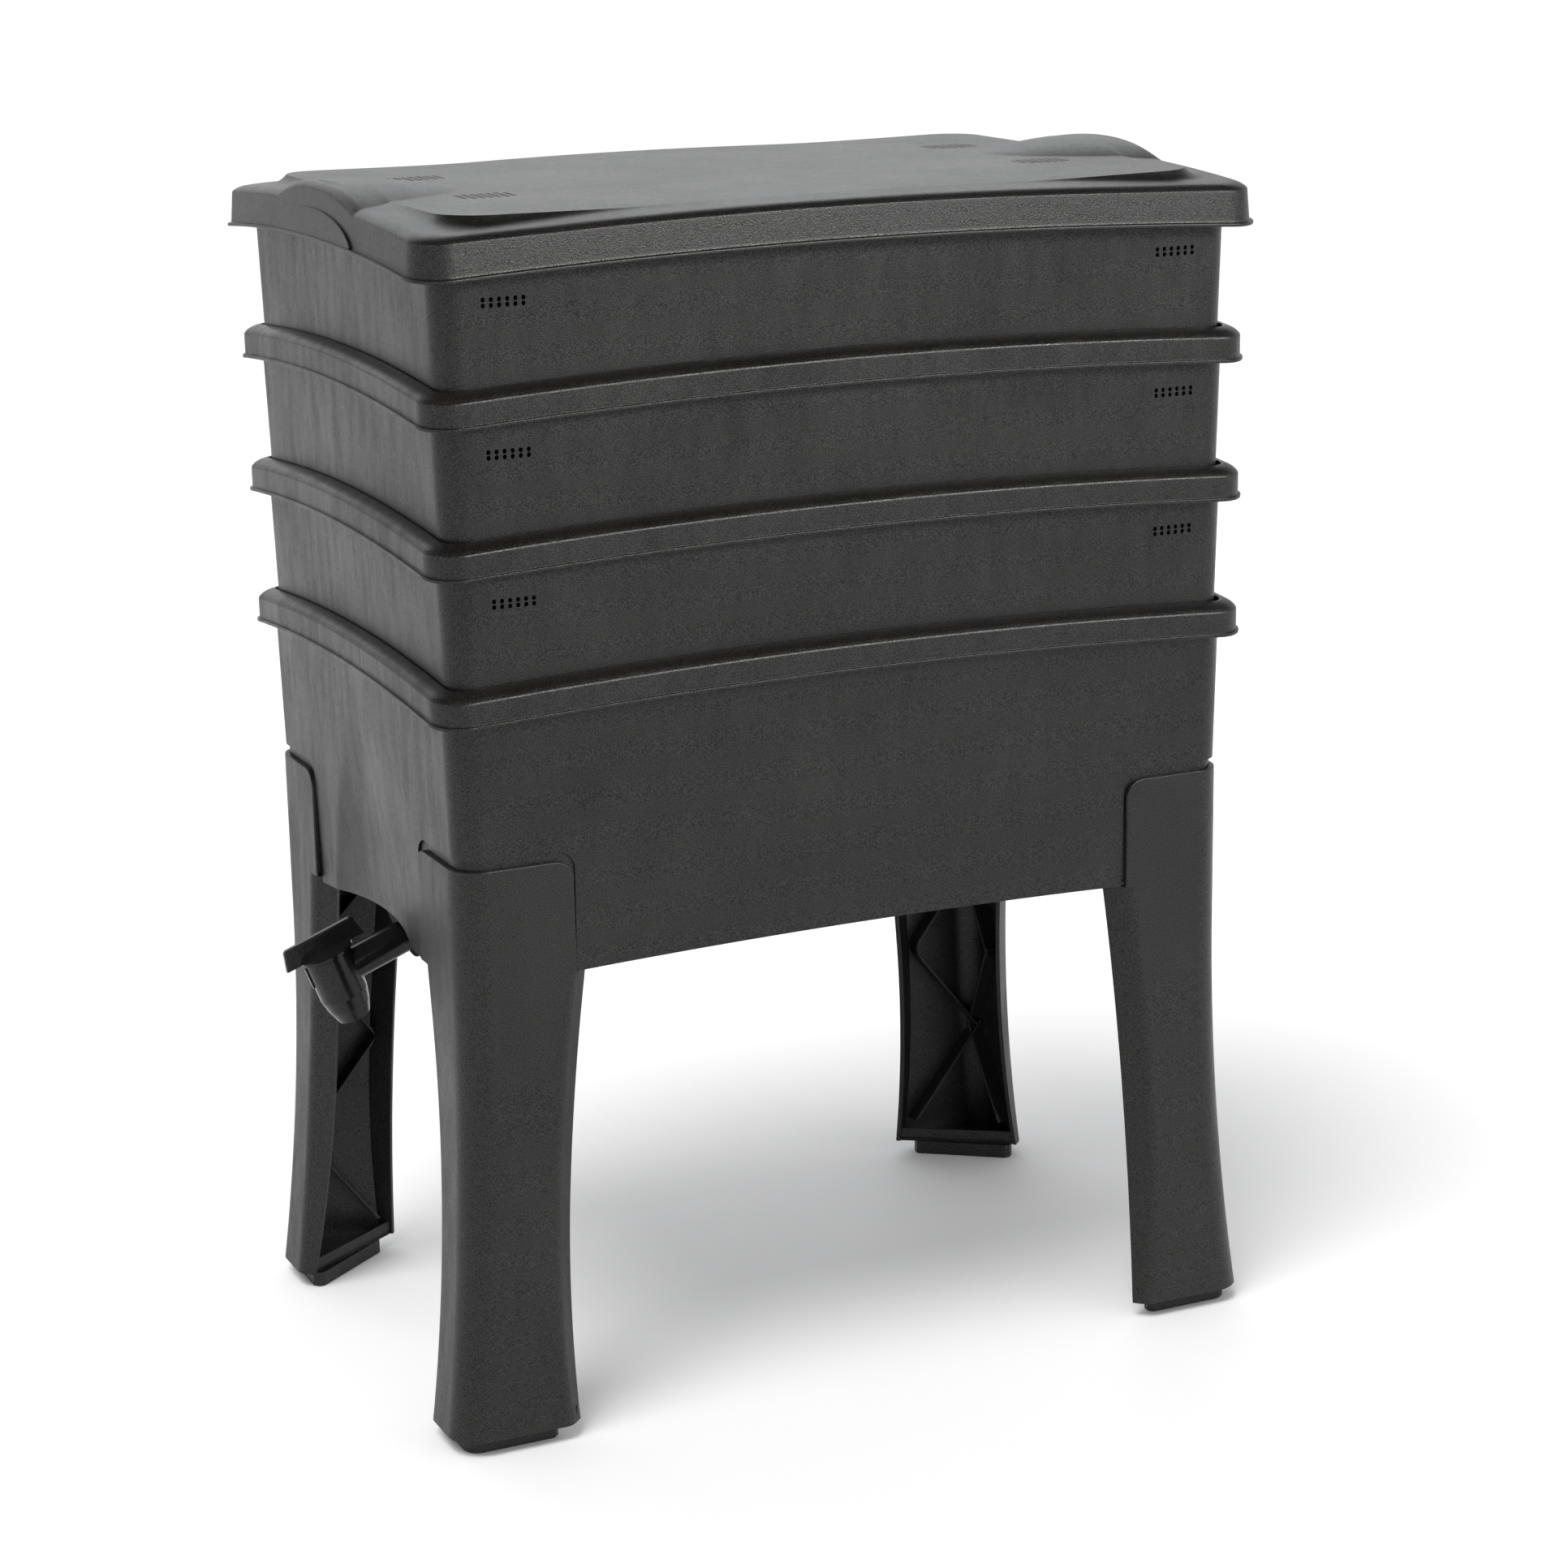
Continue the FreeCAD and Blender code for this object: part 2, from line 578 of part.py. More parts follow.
def scoop_cut(name, base, radius):
    """Takes the shallow scoop over the tap out of the end wall."""
    tilt = n("scoop_tilt")
    rot = Rotation(V(0, 1, 0), -tilt)
    down = 260.0
    x = -n("scoop_at") + math.tan(math.radians(tilt)) * down
    tool = cylinder(name + "_form", radius, 400, (as_size(x), ZERO, d("scoop_top") - d("base_line") - down), rot)
    return cut(name, base, tool)


def build_base():
    line = n("base_line")
    hl, hw, rc, w = d("base_half_len"), d("base_half_wid"), d("base_corner"), d("base_wall")
    drop, draft = d("base_drop"), d("base_draft")
    up = as_size(12)
    grow = as_size(12 * math.tan(math.radians(n("base_draft"))))
    outer = tapered("base_outer", hl + grow, hw + grow, rc + grow, up, drop + up, draft)
    outer = scoop_cut("base_outer_scooped", outer, d("scoop_rad"))
    inner = tapered("base_inner", hl - w, hw - w, rc - w, ZERO, drop + 1, draft)
    inner = scoop_cut("base_inner_scooped", inner, d("scoop_rad") + w)
    half = w * 0.5
    mid = tapered("base_mid", hl - half, hw - half, rc - half, ZERO, drop, draft)
    mid = scoop_cut("base_mid_scooped", mid, d("scoop_rad") + half)
    mouth = prism("base_mouth", d("mouth_half_len"), d("mouth_half_wid"), d("mouth_corner"), -d("mouth_deep"), 70)
    shell = cut("base_shell", fuse("base_solid", [rim("base"), outer]), fuse("base_room", [inner, mouth]))

    # lower edges
    front = common("base_front_trim",
                   cylinder("base_front_arc", d("front_edge_rad"), 600,
                            (ZERO, as_size(300), d("front_edge_mid") - d("front_edge_rad") - d("base_line")),
                            Rotation(V(1, 0, 0), 90)),
                   box("base_front_span", -d("pocket_x"), -300, -400, d("pocket_x") * 2, 600, 300))
    ends = cylinder("base_end_arc", d("end_edge_rad"), 700,
                    (as_size(-350), ZERO, d("end_edge_mid") - d("end_edge_rad") - d("base_line")),
                    Rotation(V(0, 1, 0), 90))
    corner_tools = []
    pocket_tools = []
    for i, (sx, sy) in enumerate(((-1, -1), (1, -1), (-1, 1), (1, 1))):
        x0 = d("pocket_x") if sx > 0 else -(d("pocket_x") + 130)
        y0 = d("pocket_y") if sy > 0 else -(d("pocket_y") + 130)
        corner_tools.append(box("base_corner_trim%d" % i, x0, y0, -400, 130, 130, d("corner_edge") - d("base_line") + 400))
        b = box("base_pocket_box%d" % i, x0, y0, -300, 130, 130, d("pocket_top") - d("base_line") + 300)
        top = n("pocket_top") - line
        px, py = sx * n("pocket_x"), sy * n("pocket_y")
        pocket_tools.append(fillet("base_pocket_round%d" % i, b, n("pocket_round"),
                                   lambda e, c, px=px, py=py, top=top: abs(c.z - top) < 1e-3
                                   and (abs(c.x - px) < 1e-3 or abs(c.y - py) < 1e-3)))
    ring = cut("base_pocket_ring",
               prism("base_pocket_out", as_size(300), as_size(220), as_size(10), -280, 0),
               prism("base_pocket_in", d("pocket_half_len"), d("pocket_half_wid"), as_size(16.5), -281, 1))
    pockets = common("base_pockets", ring, fuse("base_pocket_zones", pocket_tools))
    trimmed = cut("base_trimmed", shell, fuse("base_trims", [front, ends] + corner_tools + [pockets]))

    # sloping floor, sump under it with the slanted tap panel, support ribs
    slope = n("floor_tilt")
    plate = doc.addObject("Part::Box", "base_floor_plate")
    for prop, size in (("Length", as_size(700)), ("Width", as_size(500)), ("Height", d("floor_wall"))):
        setattr(plate, prop, size.v)
        bind(plate, prop, size)
    fz = n("floor_at") - line - n("floor_wall")
    rot = Rotation(V(0, 1, 0), -slope)
    start = V(-237, 0, fz) - rot.multVec(V(150, 0, 0))
    plate.Placement = Placement(V(start.x, -250, start.z), rot)
    bind(plate, "Placement.Base.z", d("floor_at") - d("base_line") - d("floor_wall") + as_size(start.z - fz))
    floor = common("base_floor", plate, mid)

    tilt = math.radians(n("tap_tilt"))
    cx = n("tap_x") + math.cos(tilt) * 55.0
    cz = n("tap_z") + math.sin(tilt) * 55.0 - line

    def panel_x(z, off):
        return cx + off / math.cos(tilt) - math.tan(tilt) * (z - cz)

    w3 = n("sump_wall")
    bottom = 261.0 - line
    t0, t1 = 301.6 - line, 304.2 - line
    half_s = d("sump_half")
    sump_out = extrude("base_sump_outer",
                       polygon("base_sump_outer_profile",
                               [(panel_x(bottom, 0), bottom), (-153.0, bottom), (-150.0, t1), (panel_x(t0, 0), t0)],
                               ON_XZ, y=half_s),
                       half_s * 2, V(0, -1, 0))
    lift = 330.0 - line
    sump_in = extrude("base_sump_inner",
                      polygon("base_sump_inner_profile",
                              [(panel_x(bottom + w3, w3), bottom + w3), (-156.0, bottom + w3), (-153.2, lift),
                               (panel_x(lift, w3), lift)],
                              ON_XZ, y=half_s - d("sump_wall")),
                      (half_s - d("sump_wall")) * 2, V(0, -1, 0))
    inside_ribs = support_ribs("base", hl, hw, rc, w, draft, as_size(146.5), mid)
    joined = fuse("base_joined", [trimmed, floor, sump_out, inside_ribs])
    hole = cylinder("base_tap_hole", d("panel_hole"), 14,
                    (as_size(cx - 5 * math.cos(tilt)), ZERO, as_size(cz - 5 * math.sin(tilt))),
                    Rotation(V(0, 1, 0), 90 - n("tap_tilt")))
    base = cut("collector_base", joined, fuse("base_sump_room", [sump_in, hole]))
    base.Label = "collector_base"
    set_base(base, x=d("frame_shift"), z=d("base_line"))
    return base


collector = build_base()

# ---------------------------------------------------------------------------
# Legs: thin angle section, straight at the top and splayed below
# ---------------------------------------------------------------------------

def leg_curves(z):
    k = n("leg_knee")
    g = ((k - z) / (k - n("leg_foot_z"))) ** 2 if z < k else 0.0
    hx = n("leg_half_len") + n("leg_splay_x") * g
    hy = n("leg_half_wid") + n("leg_splay_y") * g
    xf = 205.0 - (z - 15.0) ** 2 / 3920.0 + 1.463 * (leg_flange(z) - 9.5)
    ys = 130.5 - 21.0 * ((z - 30.0) / 262.0) ** 2
    return hx, hy, xf, ys


def leg_flange(z):
    t = min(1.0, max(0.0, (z - n("leg_foot_z")) / 150.0))
    return n("leg_flange_low") + (n("leg_flange") - n("leg_flange_low")) * t * (2.0 - t)


def leg_section(z, outer, inner, flanges):
    """Closed angle section at height z between two offsets from the outer face."""
    hx, hy, xf, ys = leg_curves(z)
    r = n("leg_corner")
    f = leg_flange(z) if flanges else 0.0

    def arc(off, back):
        rr = r - off
        c = V(hx - r, hy - r, z)
        a = V(c.x, c.y + rr, z)
        b = V(c.x + rr, c.y, z)
        m = V(c.x + rr * math.sqrt(0.5), c.y + rr * math.sqrt(0.5), z)
        return Part.Arc(b, m, a).toShape() if back else Part.Arc(a, m, b).toShape()

    def seg(p, q):
        return Part.LineSegment(V(p[0], p[1], z), V(q[0], q[1], z)).toShape()

    k = math.tan(math.radians(22.5))
    if flanges:
        w = inner - outer
        s = w * math.sqrt(0.5)
        p0, p1 = (xf - f, hy - f), (xf, hy)
        p4, p5 = (hx, ys), (hx - f, ys - f)
        q5, q4 = (hx - f - s, ys - f + s), (hx - w, ys + k * w)
        q1, q0 = (xf + k * w, hy - w), (xf - f + s, hy - f - s)
        edges = [seg(p0, p1), seg(p1, (hx - r, hy)), arc(0, False), seg((hx, hy - r), p4), seg(p4, p5),
                 seg(p5, q5), seg(q5, q4), seg(q4, (hx - w, hy - r)), arc(w, True),
                 seg((hx - r, hy - w), q1), seg(q1, q0), seg(q0, p0)]
    else:
        o, i = outer, inner
        a0, a1 = xf + 2.0, ys + 2.0
        edges = [seg((a0, hy - o), (hx - r, hy - o)), arc(o, False), seg((hx - o, hy - r), (hx - o, a1)),
                 seg((hx - o, a1), (hx - i, a1)), seg((hx - i, a1), (hx - i, hy - r)), arc(i, True),
                 seg((hx - r, hy - i), (a0, hy - i)), seg((a0, hy - i), (a0, hy - o))]
    return Part.Wire(edges)


def leg_form():
    z0, z1 = n("leg_foot_z"), n("leg_shoulder")
    levels = [z0, 55.0, 105.0, 155.0, 205.0, 250.0, z1]
    w = n("leg_wall")
    wall = Part.makeLoft([leg_section(z, 0, w, True) for z in levels], True, False)
    fat = Part.makeLoft([leg_section(z, w * 0.5, w + n("leg_rib_tall"), False) for z in levels], True, False)
    t = n("leg_rib_wide")

    def strip(a, b, along_x):
        """Thin plate between two nodes (u, z); u runs along the wall."""
        du, dz = b[0] - a[0], b[1] - a[1]
        length = math.hypot(du, dz)
        nu, nz = -dz / length * t / 2, du / length * t / 2
        eu, ez = du / length * 4, dz / length * 4
        pts = [(a[0] - eu + nu, a[1] - ez + nz), (b[0] + eu + nu, b[1] + ez + nz),
               (b[0] + eu - nu, b[1] + ez - nz), (a[0] - eu - nu, a[1] - ez - nz)]
        if along_x:
            w3 = [V(u, 155.0, z) for u, z in pts]
            sweep = V(0, 40, 0)
        else:
            w3 = [V(242.0, u, z) for u, z in pts]
            sweep = V(40, 0, 0)
        return Part.Face(Part.makePolygon(w3 + [w3[0]])).extrude(sweep)

    strips = []
    nodes = [(28.0, 0), (92.6, 1), (159.0, 0), (222.0, 1), (282.0, 0)]
    for (za, ca), (zb, cb) in zip(nodes[:-1], nodes[1:]):
        for along_x in (True, False):
            ends = []
            for z, at_corner in ((za, ca), (zb, cb)):
                hx, hy, xf, ys = leg_curves(z)
                near = (hx if along_x else hy) - 9.0
                far = ((xf - 1.463 * (leg_flange(z) - 9.5)) if along_x else ys) + 5.0
                ends.append((near if at_corner else far, z))
            strips.append(strip(ends[0], ends[1], along_x))
    ribs = [s.common(fat) for s in strips]

    # closed foot of the leg, with a low lip along its open inner side
    hx, hy, xf, ys = leg_curves(z0)
    r = n("leg_corner")
    corner = Part.Arc(V(hx - r, hy - 1, z0), V(hx - r + (r - 1) * math.sqrt(0.5), hy - r + (r - 1) * math.sqrt(0.5), z0),
                      V(hx - 1, hy - r, z0)).toShape()
    f = leg_flange(z0)
    a, b = V(xf - f + 1.5, hy - f + 0.3, z0), V(hx - f + 0.3, ys - f + 1.5, z0)

    def seg(p, q):
        return Part.LineSegment(p, q).toShape()

    edges = [seg(a, V(xf + 0.6, hy - 1, z0)), seg(V(xf + 0.6, hy - 1, z0), V(hx - r, hy - 1, z0)), corner,
             seg(V(hx - 1, hy - r, z0), V(hx - 1, ys + 0.6, z0)), seg(V(hx - 1, ys + 0.6, z0), b), seg(b, a)]
    sole = Part.Face(Part.Wire(edges)).extrude(V(0, 0, 3.0))
    along = (b - a).normalize()
    side = V(-along.y, along.x, 0)
    if side.dot(V(1, 1, 0)) < 0:
        side = side * -1
    a2, b2 = a, b
    lip = Part.Face(Part.makePolygon([a2, b2, b2 + side * 2.5, a2 + side * 2.5, a2])).extrude(V(0, 0, 9.5))
    return wall.multiFuse(ribs + [sole, lip]).removeSplitter()


def angle_plan(name, half_x, half_y, edge_x, edge_y, thick, corner, z, inner=0.0):
    """Sketch of an angle section: outer faces at half_x and half_y."""
    s = doc.addObject("Sketcher::SketchObject", name)
    set_base(s, z=z)
    X, Y, w, r = half_x.v, half_y.v, thick.v, corner.v
    up = V(0, 0, 1)

    def seg(x0, y0, x1, y1):
        return Part.LineSegment(V(x0, y0, 0), V(x1, y1, 0))

    c = V(X - r, Y - r, 0)
    s.addGeometry([
        seg(edge_x.v, Y, edge_x.v, Y - w),
        seg(edge_x.v, Y - w, X - r, Y - w),
        Part.ArcOfCircle(Part.Circle(c, up, r - w), 0, math.pi / 2),
        seg(X - w, Y - r, X - w, edge_y.v),
        seg(X - w, edge_y.v, X, edge_y.v),
        seg(X, edge_y.v, X, Y - r),
        Part.ArcOfCircle(Part.Circle(c, up, r), 0, math.pi / 2),
        seg(X - r, Y, edge_x.v, Y)], False)
    C = Sketcher.Constraint
    s.addConstraint([
        C("Coincident", 0, 2, 1, 1), C("Tangent", 1, 2, 2, 2), C("Tangent", 2, 1, 3, 1),
        C("Coincident", 3, 2, 4, 1), C("Coincident", 4, 2, 5, 1), C("Tangent", 5, 2, 6, 1),
        C("Tangent", 6, 2, 7, 1), C("Coincident", 7, 2, 0, 1),
        C("Vertical", 0), C("Horizontal", 1), C("Vertical", 3), C("Horizontal", 4),
        C("Vertical", 5), C("Horizontal", 7), C("Coincident", 2, 3, 6, 3)])
    for cname, con, size in (
            ("corner", C("Radius", 6, r), corner),
            ("thick", C("DistanceY", 0, 2, 0, 1, w), thick),
            ("edge_x", C("DistanceX", -1, 1, 0, 1, edge_x.v), edge_x),
            ("edge_y", C("DistanceY", -1, 1, 4, 1, edge_y.v), edge_y),
            ("half_x", C("DistanceX", -1, 1, 5, 1, X), half_x),
            ("half_y", C("DistanceY", -1, 1, 7, 1, Y), half_y)):
        i = s.addConstraint(con)
        s.renameConstraint(i, cname)
        bind(s, "Constraints." + cname, size)
    return s


def build_legs():
    form = doc.addObject("Part::Feature", "leg_lower_form")
    form.Shape = leg_form()
    plate = extrude("leg_upper_plate",
                    angle_plan("leg_upper_plan", d("leg_half_len"), d("leg_half_wid"), d("leg_plate_x"),
                               d("leg_plate_y"), d("leg_wall"), d("leg_corner"), d("leg_shoulder")),
                    d("leg_top") - d("leg_shoulder"), V(0, 0, 1))
    top, ex, ey = n("leg_top"), n("leg_plate_x"), n("leg_plate_y")
    plate = fillet("leg_upper_round", plate, n("pocket_round"),
                   lambda e, c: abs(c.z - top) < 1e-3 and (abs(c.x - ex) < 1e-3 or abs(c.y - ey) < 1e-3))
    ledge = extrude("leg_ledge",
                    angle_plan("leg_ledge_plan", d("leg_half_len") - 1.5, d("leg_half_wid") - 1.5, d("leg_plate_x"),
                               d("leg_plate_y"), as_size(9), d("leg_corner") - 1.5, d("leg_shoulder")),
                    d("corner_edge") - d("leg_shoulder"), V(0, 0, 1))
    rear_right = fuse("leg_rear_right", [form, plate, ledge])
    rear_right.Label = "leg_rear_right"
    set_base(rear_right, x=d("frame_shift"))

    def mirror(label, source, normal):
        m = doc.addObject("Part::Mirroring", label)
        m.Source = source
        m.Base = V(n("frame_shift"), 0, 0)
        bind(m, "Base.x", d("frame_shift"))
        m.Normal = normal
        m.Label = label
        return m

    front_right = mirror("leg_front_right", rear_right, V(0, 1, 0))
    rear_left = mirror("leg_rear_left", rear_right, V(1, 0, 0))
    front_left = mirror("leg_front_left", front_right, V(1, 0, 0))
    return [front_left, front_right, rear_left, rear_right], mirror


legs, mirror = build_legs()


# ---------------------------------------------------------------------------
# Helpers for the bodies
# ---------------------------------------------------------------------------

def plane_of(body, role):
    for f in body.Origin.OriginFeatures:
        if f.Role == role:
            return f
    raise RuntimeError(role)


def body_sketch(body, name, role, points):
    s = body.newObject("Sketcher::SketchObject", name)
    s.AttachmentSupport = [(plane_of(body, role), "")]
    s.MapMode = "FlatFace"
    return polygon_into(s, points)


def revolve(body, name, role, points, axis, groove=False):
    s = body_sketch(body, name + "_profile", role, points)
    doc.recompute()
    f = body.newObject("PartDesign::Groove" if groove else "PartDesign::Revolution", name)
    f.Profile = s
    f.ReferenceAxis = (s, [axis])
    f.Angle = 360.0
    doc.recompute()
    return f


def circle_sketch(body, name, role, radii):
    s = body.newObject("Sketcher::SketchObject", name)
    s.AttachmentSupport = [(plane_of(body, role), "")]
    s.MapMode = "FlatFace"
    for i, r in enumerate(radii):
        g = s.addGeometry(Part.Circle(V(0, 0, 0), V(0, 0, 1), r.v), False)
        s.addConstraint(Sketcher.Constraint("Coincident", g, 3, -1, 1))
        c = s.addConstraint(Sketcher.Constraint("Radius", g, r.v))
        s.renameConstraint(c, "radius_%s" % "abc"[i])
        bind(s, "Constraints.radius_%s" % "abc"[i], r)
    return s


# ---------------------------------------------------------------------------
# Feet: one pad under each leg
# ---------------------------------------------------------------------------

def build_feet():
    body = doc.addObject("PartDesign::Body", "foot_rear_right")
    body.Label = "foot_rear_right"
    ix, ox, oy, iy = d("foot_in_x"), d("foot_out_x"), d("foot_out_y"), d("foot_in_y")
    s = body_sketch(body, "foot_plan", "XY_Plane",
                    [(ix, oy - 3.2), (ix + 3.2, oy), (ox, oy), (ox, iy + 3.2), (ox - 3.2, iy),
                     (ox - 7.5, iy), (ix, oy - 7.5)])
    doc.recompute()
    pad = body.newObject("PartDesign::Pad", "foot_pad")
    pad.Profile = s
    pad.Length = n("leg_foot_z")
    bind(pad, "Length", d("leg_foot_z"))
    doc.recompute()
    X, Y = n("foot_out_x"), n("foot_out_y")
    ids = pick_edges(pad, lambda e, c: abs(c.x - X) < 1e-3 and abs(c.y - Y) < 1e-3)
    rnd = body.newObject("PartDesign::Fillet", "foot_corner")
    rnd.Base = (pad, ["Edge%d" % i for i in ids])
    rnd.Radius = n("foot_round")
    bind(rnd, "Radius", d("foot_round"))
    doc.recompute()
    edges = pick_edges(rnd, lambda e, c: abs(c.z) < 1e-3)
    soft = body.newObject("PartDesign::Chamfer", "foot_edge")
    soft.Base = (rnd, ["Edge%d" % i for i in edges])
    soft.Size = 0.8
    doc.recompute()
    set_base(body, x=d("frame_shift"))
    front_right = mirror("foot_front_right", body, V(0, 1, 0))
    rear_left = mirror("foot_rear_left", body, V(1, 0, 0))
    front_left = mirror("foot_front_left", front_right, V(1, 0, 0))
    return [front_left, front_right, rear_left, body]


feet = build_feet()

# ---------------------------------------------------------------------------
# Tap: tilted barrel and pipe, turning key with two O-rings, washers, backnut
# ---------------------------------------------------------------------------

TAP_TURN = Rotation(V(0, 1, 0), -n("tap_tilt"))


def tap_place(obj):
    obj.Placement = Placement(V(n("tap_x") + n("frame_shift"), 0, n("tap_z")), TAP_TURN)
    bind(obj, "Placement.Base.x", d("tap_x") + d("frame_shift"))
    bind(obj, "Placement.Base.z", d("tap_z"))


def build_tap():
    body = doc.addObject("PartDesign::Body", "tap_body")
    body.Label = "tap_body"
    up, dn, sp = d("barrel_up"), -d("barrel_down"), -d("spout_down")
    revolve(body, "barrel", "XZ_Plane", [(ZERO, up), (d("barrel_rad") - 0.8, up), (d("barrel_rad"), up - 0.8),
                                         (d("barrel_rad"), dn), (d("barrel_waist"), dn - 8.5),
                                         (d("spout_rad"), sp), (ZERO, sp)], "V_Axis")
    fa, ft = d("flange_at"), d("flange_thick")
    revolve(body, "pipe", "XZ_Plane", [(as_size(4), ZERO), (as_size(4), d("pipe_rad")), (fa, d("pipe_rad")),
                                       (fa, d("flange_rad") - 0.8), (fa + 0.8, d("flange_rad")),
                                       (fa + ft, d("flange_rad")), (fa + ft, d("thread_rad")),
                                       (d("tail_end") - 1, d("thread_rad")), (d("tail_end"), d("thread_rad") - 1),
                                       (d("tail_end"), ZERO)], "H_Axis")
    rib = body_sketch(body, "barrel_rib_profile", "XZ_Plane",
                      [(-d("barrel_rad") - 1.0, as_size(-2)), (-d("barrel_rad") + 2, as_size(-2)),
                       (-d("barrel_rad") + 2, as_size(12)), (-d("barrel_rad") - 1.0, as_size(12))])
    doc.recompute()
    pad = body.newObject("PartDesign::Pad", "barrel_rib")
    pad.Profile = rib
    pad.Midplane = True
    pad.Length = 2.2
    doc.recompute()
    seat = -d("plug_seat")
    before = body.Shape.Volume
    revolve(body, "barrel_bore", "XZ_Plane", [(ZERO, up + 1), (d("plug_bore"), up + 1), (d("plug_bore"), seat),
                                              (d("spout_bore"), seat), (d("spout_bore"), sp - 1), (ZERO, sp - 1)],
            "V_Axis", True)
    middle = body.Shape.Volume
    revolve(body, "pipe_bore_groove", "XZ_Plane", [(as_size(8), ZERO), (as_size(8), d("pipe_bore")),
                                                   (d("tail_end") + 1, d("pipe_bore")), (d("tail_end") + 1, ZERO)],
            "H_Axis", True)
    after = body.Shape.Volume
    if not (before > middle + 5000 > after + 5000):
        raise RuntimeError("tap bores did not cut: %s %s %s" % (before, middle, after))
    tap_place(body)

    key = doc.addObject("PartDesign::Body", "tap_key")
    key.Label = "tap_key"
    kr, gr, gh = d("key_rad"), d("groove_rad"), d("groove_half")
    rh, rl = d("ring_high"), -d("ring_low")
    revolve(key, "plug", "XZ_Plane", [
        (ZERO, d("collar_high")), (d("collar_rad") - 0.6, d("collar_high")),
        (d("collar_rad"), d("collar_high") - 0.6), (d("collar_rad"), d("collar_low")),
        (kr, d("collar_low")), (kr, rh + gh), (gr, rh + gh), (gr, rh - gh), (kr, rh - gh),
        (kr, rl + gh), (gr, rl + gh), (gr, rl - gh), (kr, rl - gh), (kr, -d("key_down")),
        (d("key_bore"), -d("key_down")), (d("key_bore"), d("key_bore_up")), (ZERO, d("key_bore_up"))], "V_Axis")
    fin = body_sketch(key, "fin_profile", "XZ_Plane",
                      [(-d("fin_foot"), d("fin_low")), (d("fin_foot"), d("fin_low")),
                       (d("fin_head"), d("fin_high")), (-d("fin_head"), d("fin_high"))])
    doc.recompute()
    fp = key.newObject("PartDesign::Pad", "fin")
    fp.Profile = fin
    fp.Midplane = True
    fp.Length = n("fin_wide")
    bind(fp, "Length", d("fin_wide"))
    doc.recompute()
    zt = n("fin_high")
    half = n("fin_wide") / 2
    ends = pick_edges(fp, lambda e, c: c.z > zt - 0.01 and abs(c.y) < 1e-3)
    ro = key.newObject("PartDesign::Fillet", "fin_ends")
    ro.Base = (fp, ["Edge%d" % i for i in ends])
    ro.Radius = 3.0
    doc.recompute()
    tops = pick_edges(ro, lambda e, c: c.z > n("collar_high") + 1.0 and abs(abs(c.y) - half) < 1e-3)
    rt = key.newObject("PartDesign::Fillet", "fin_edges")
    rt.Base = (ro, ["Edge%d" % i for i in tops])
    rt.Radius = 1.0
    doc.recompute()
    v0 = key.Shape.Volume
    revolve(key, "side_port", "XZ_Plane", [(ZERO, ZERO), (ZERO, d("port_rad")), (kr + 1, d("port_rad")), (kr + 1, ZERO)],
            "H_Axis", True)
    if not key.Shape.Volume < v0 - 100:
        raise RuntimeError("side port did not cut")
    tap_place(key)

    rings = []
    for name, z in (("tap_ring_upper", rh), ("tap_ring_lower", rl)):
        t = doc.addObject("Part::Torus", name)
        t.Radius1, t.Radius2 = n("ring_major"), n("ring_minor")
        bind(t, "Radius1", d("ring_major"))
        bind(t, "Radius2", d("ring_minor"))
        set_base(t, z=z)
        rings.append(t)
    pair = doc.addObject("Part::Compound", "tap_key_o_rings")
    pair.Label = "tap_key_o_rings"
    pair.Links = rings
    tap_place(pair)

    def ring_body(label, x0, thick, outer, bore):
        b = doc.addObject("PartDesign::Body", label)
        b.Label = label
        revolve(b, label + "_turn", "XZ_Plane", [(x0, bore), (x0, outer), (x0 + thick, outer), (x0 + thick, bore)], "H_Axis")
        tap_place(b)
        return b

    x0 = fa + ft
    wt = d("washer_thick")
    outer_washer = ring_body("tap_outer_washer", x0, wt, d("washer_rad"), d("washer_bore"))
    inner_washer = ring_body("tap_inner_washer", x0 + wt + d("sump_wall"), wt, d("washer_rad"), d("washer_bore"))

    nut = doc.addObject("PartDesign::Body", "tap_backnut")
    nut.Label = "tap_backnut"
    k = 1 / math.sqrt(3)
    f = d("nut_flat")
    s = body_sketch(nut, "nut_plan", "YZ_Plane", [(f, f * k), (ZERO, f * (2 * k)), (-f, f * k),
                                                  (-f, f * -k), (ZERO, f * (-2 * k)), (f, f * -k)])
    at = x0 + wt * 2 + d("sump_wall")
    s.AttachmentOffset = Placement(V(0, 0, at.v), Rotation())
    bind(s, "AttachmentOffset.Base.z", at)
    doc.recompute()
    p = nut.newObject("PartDesign::Pad", "nut_pad")
    p.Profile = s
    p.Length = n("nut_thick")
    bind(p, "Length", d("nut_thick"))
    doc.recompute()
    v1 = nut.Shape.Volume
    revolve(nut, "nut_bore_groove", "XZ_Plane", [(at - 2, ZERO), (at - 2, d("nut_bore")),
                                                 (at + d("nut_thick") + 2, d("nut_bore")),
                                                 (at + d("nut_thick") + 2, ZERO)], "H_Axis", True)
    if not nut.Shape.Volume < v1 - 1000:
        raise RuntimeError("nut bore did not cut")
    tap_place(nut)
    return [body, key, pair, outer_washer, inner_washer, nut]


tap = build_tap()

# ---------------------------------------------------------------------------
# Lid
# ---------------------------------------------------------------------------

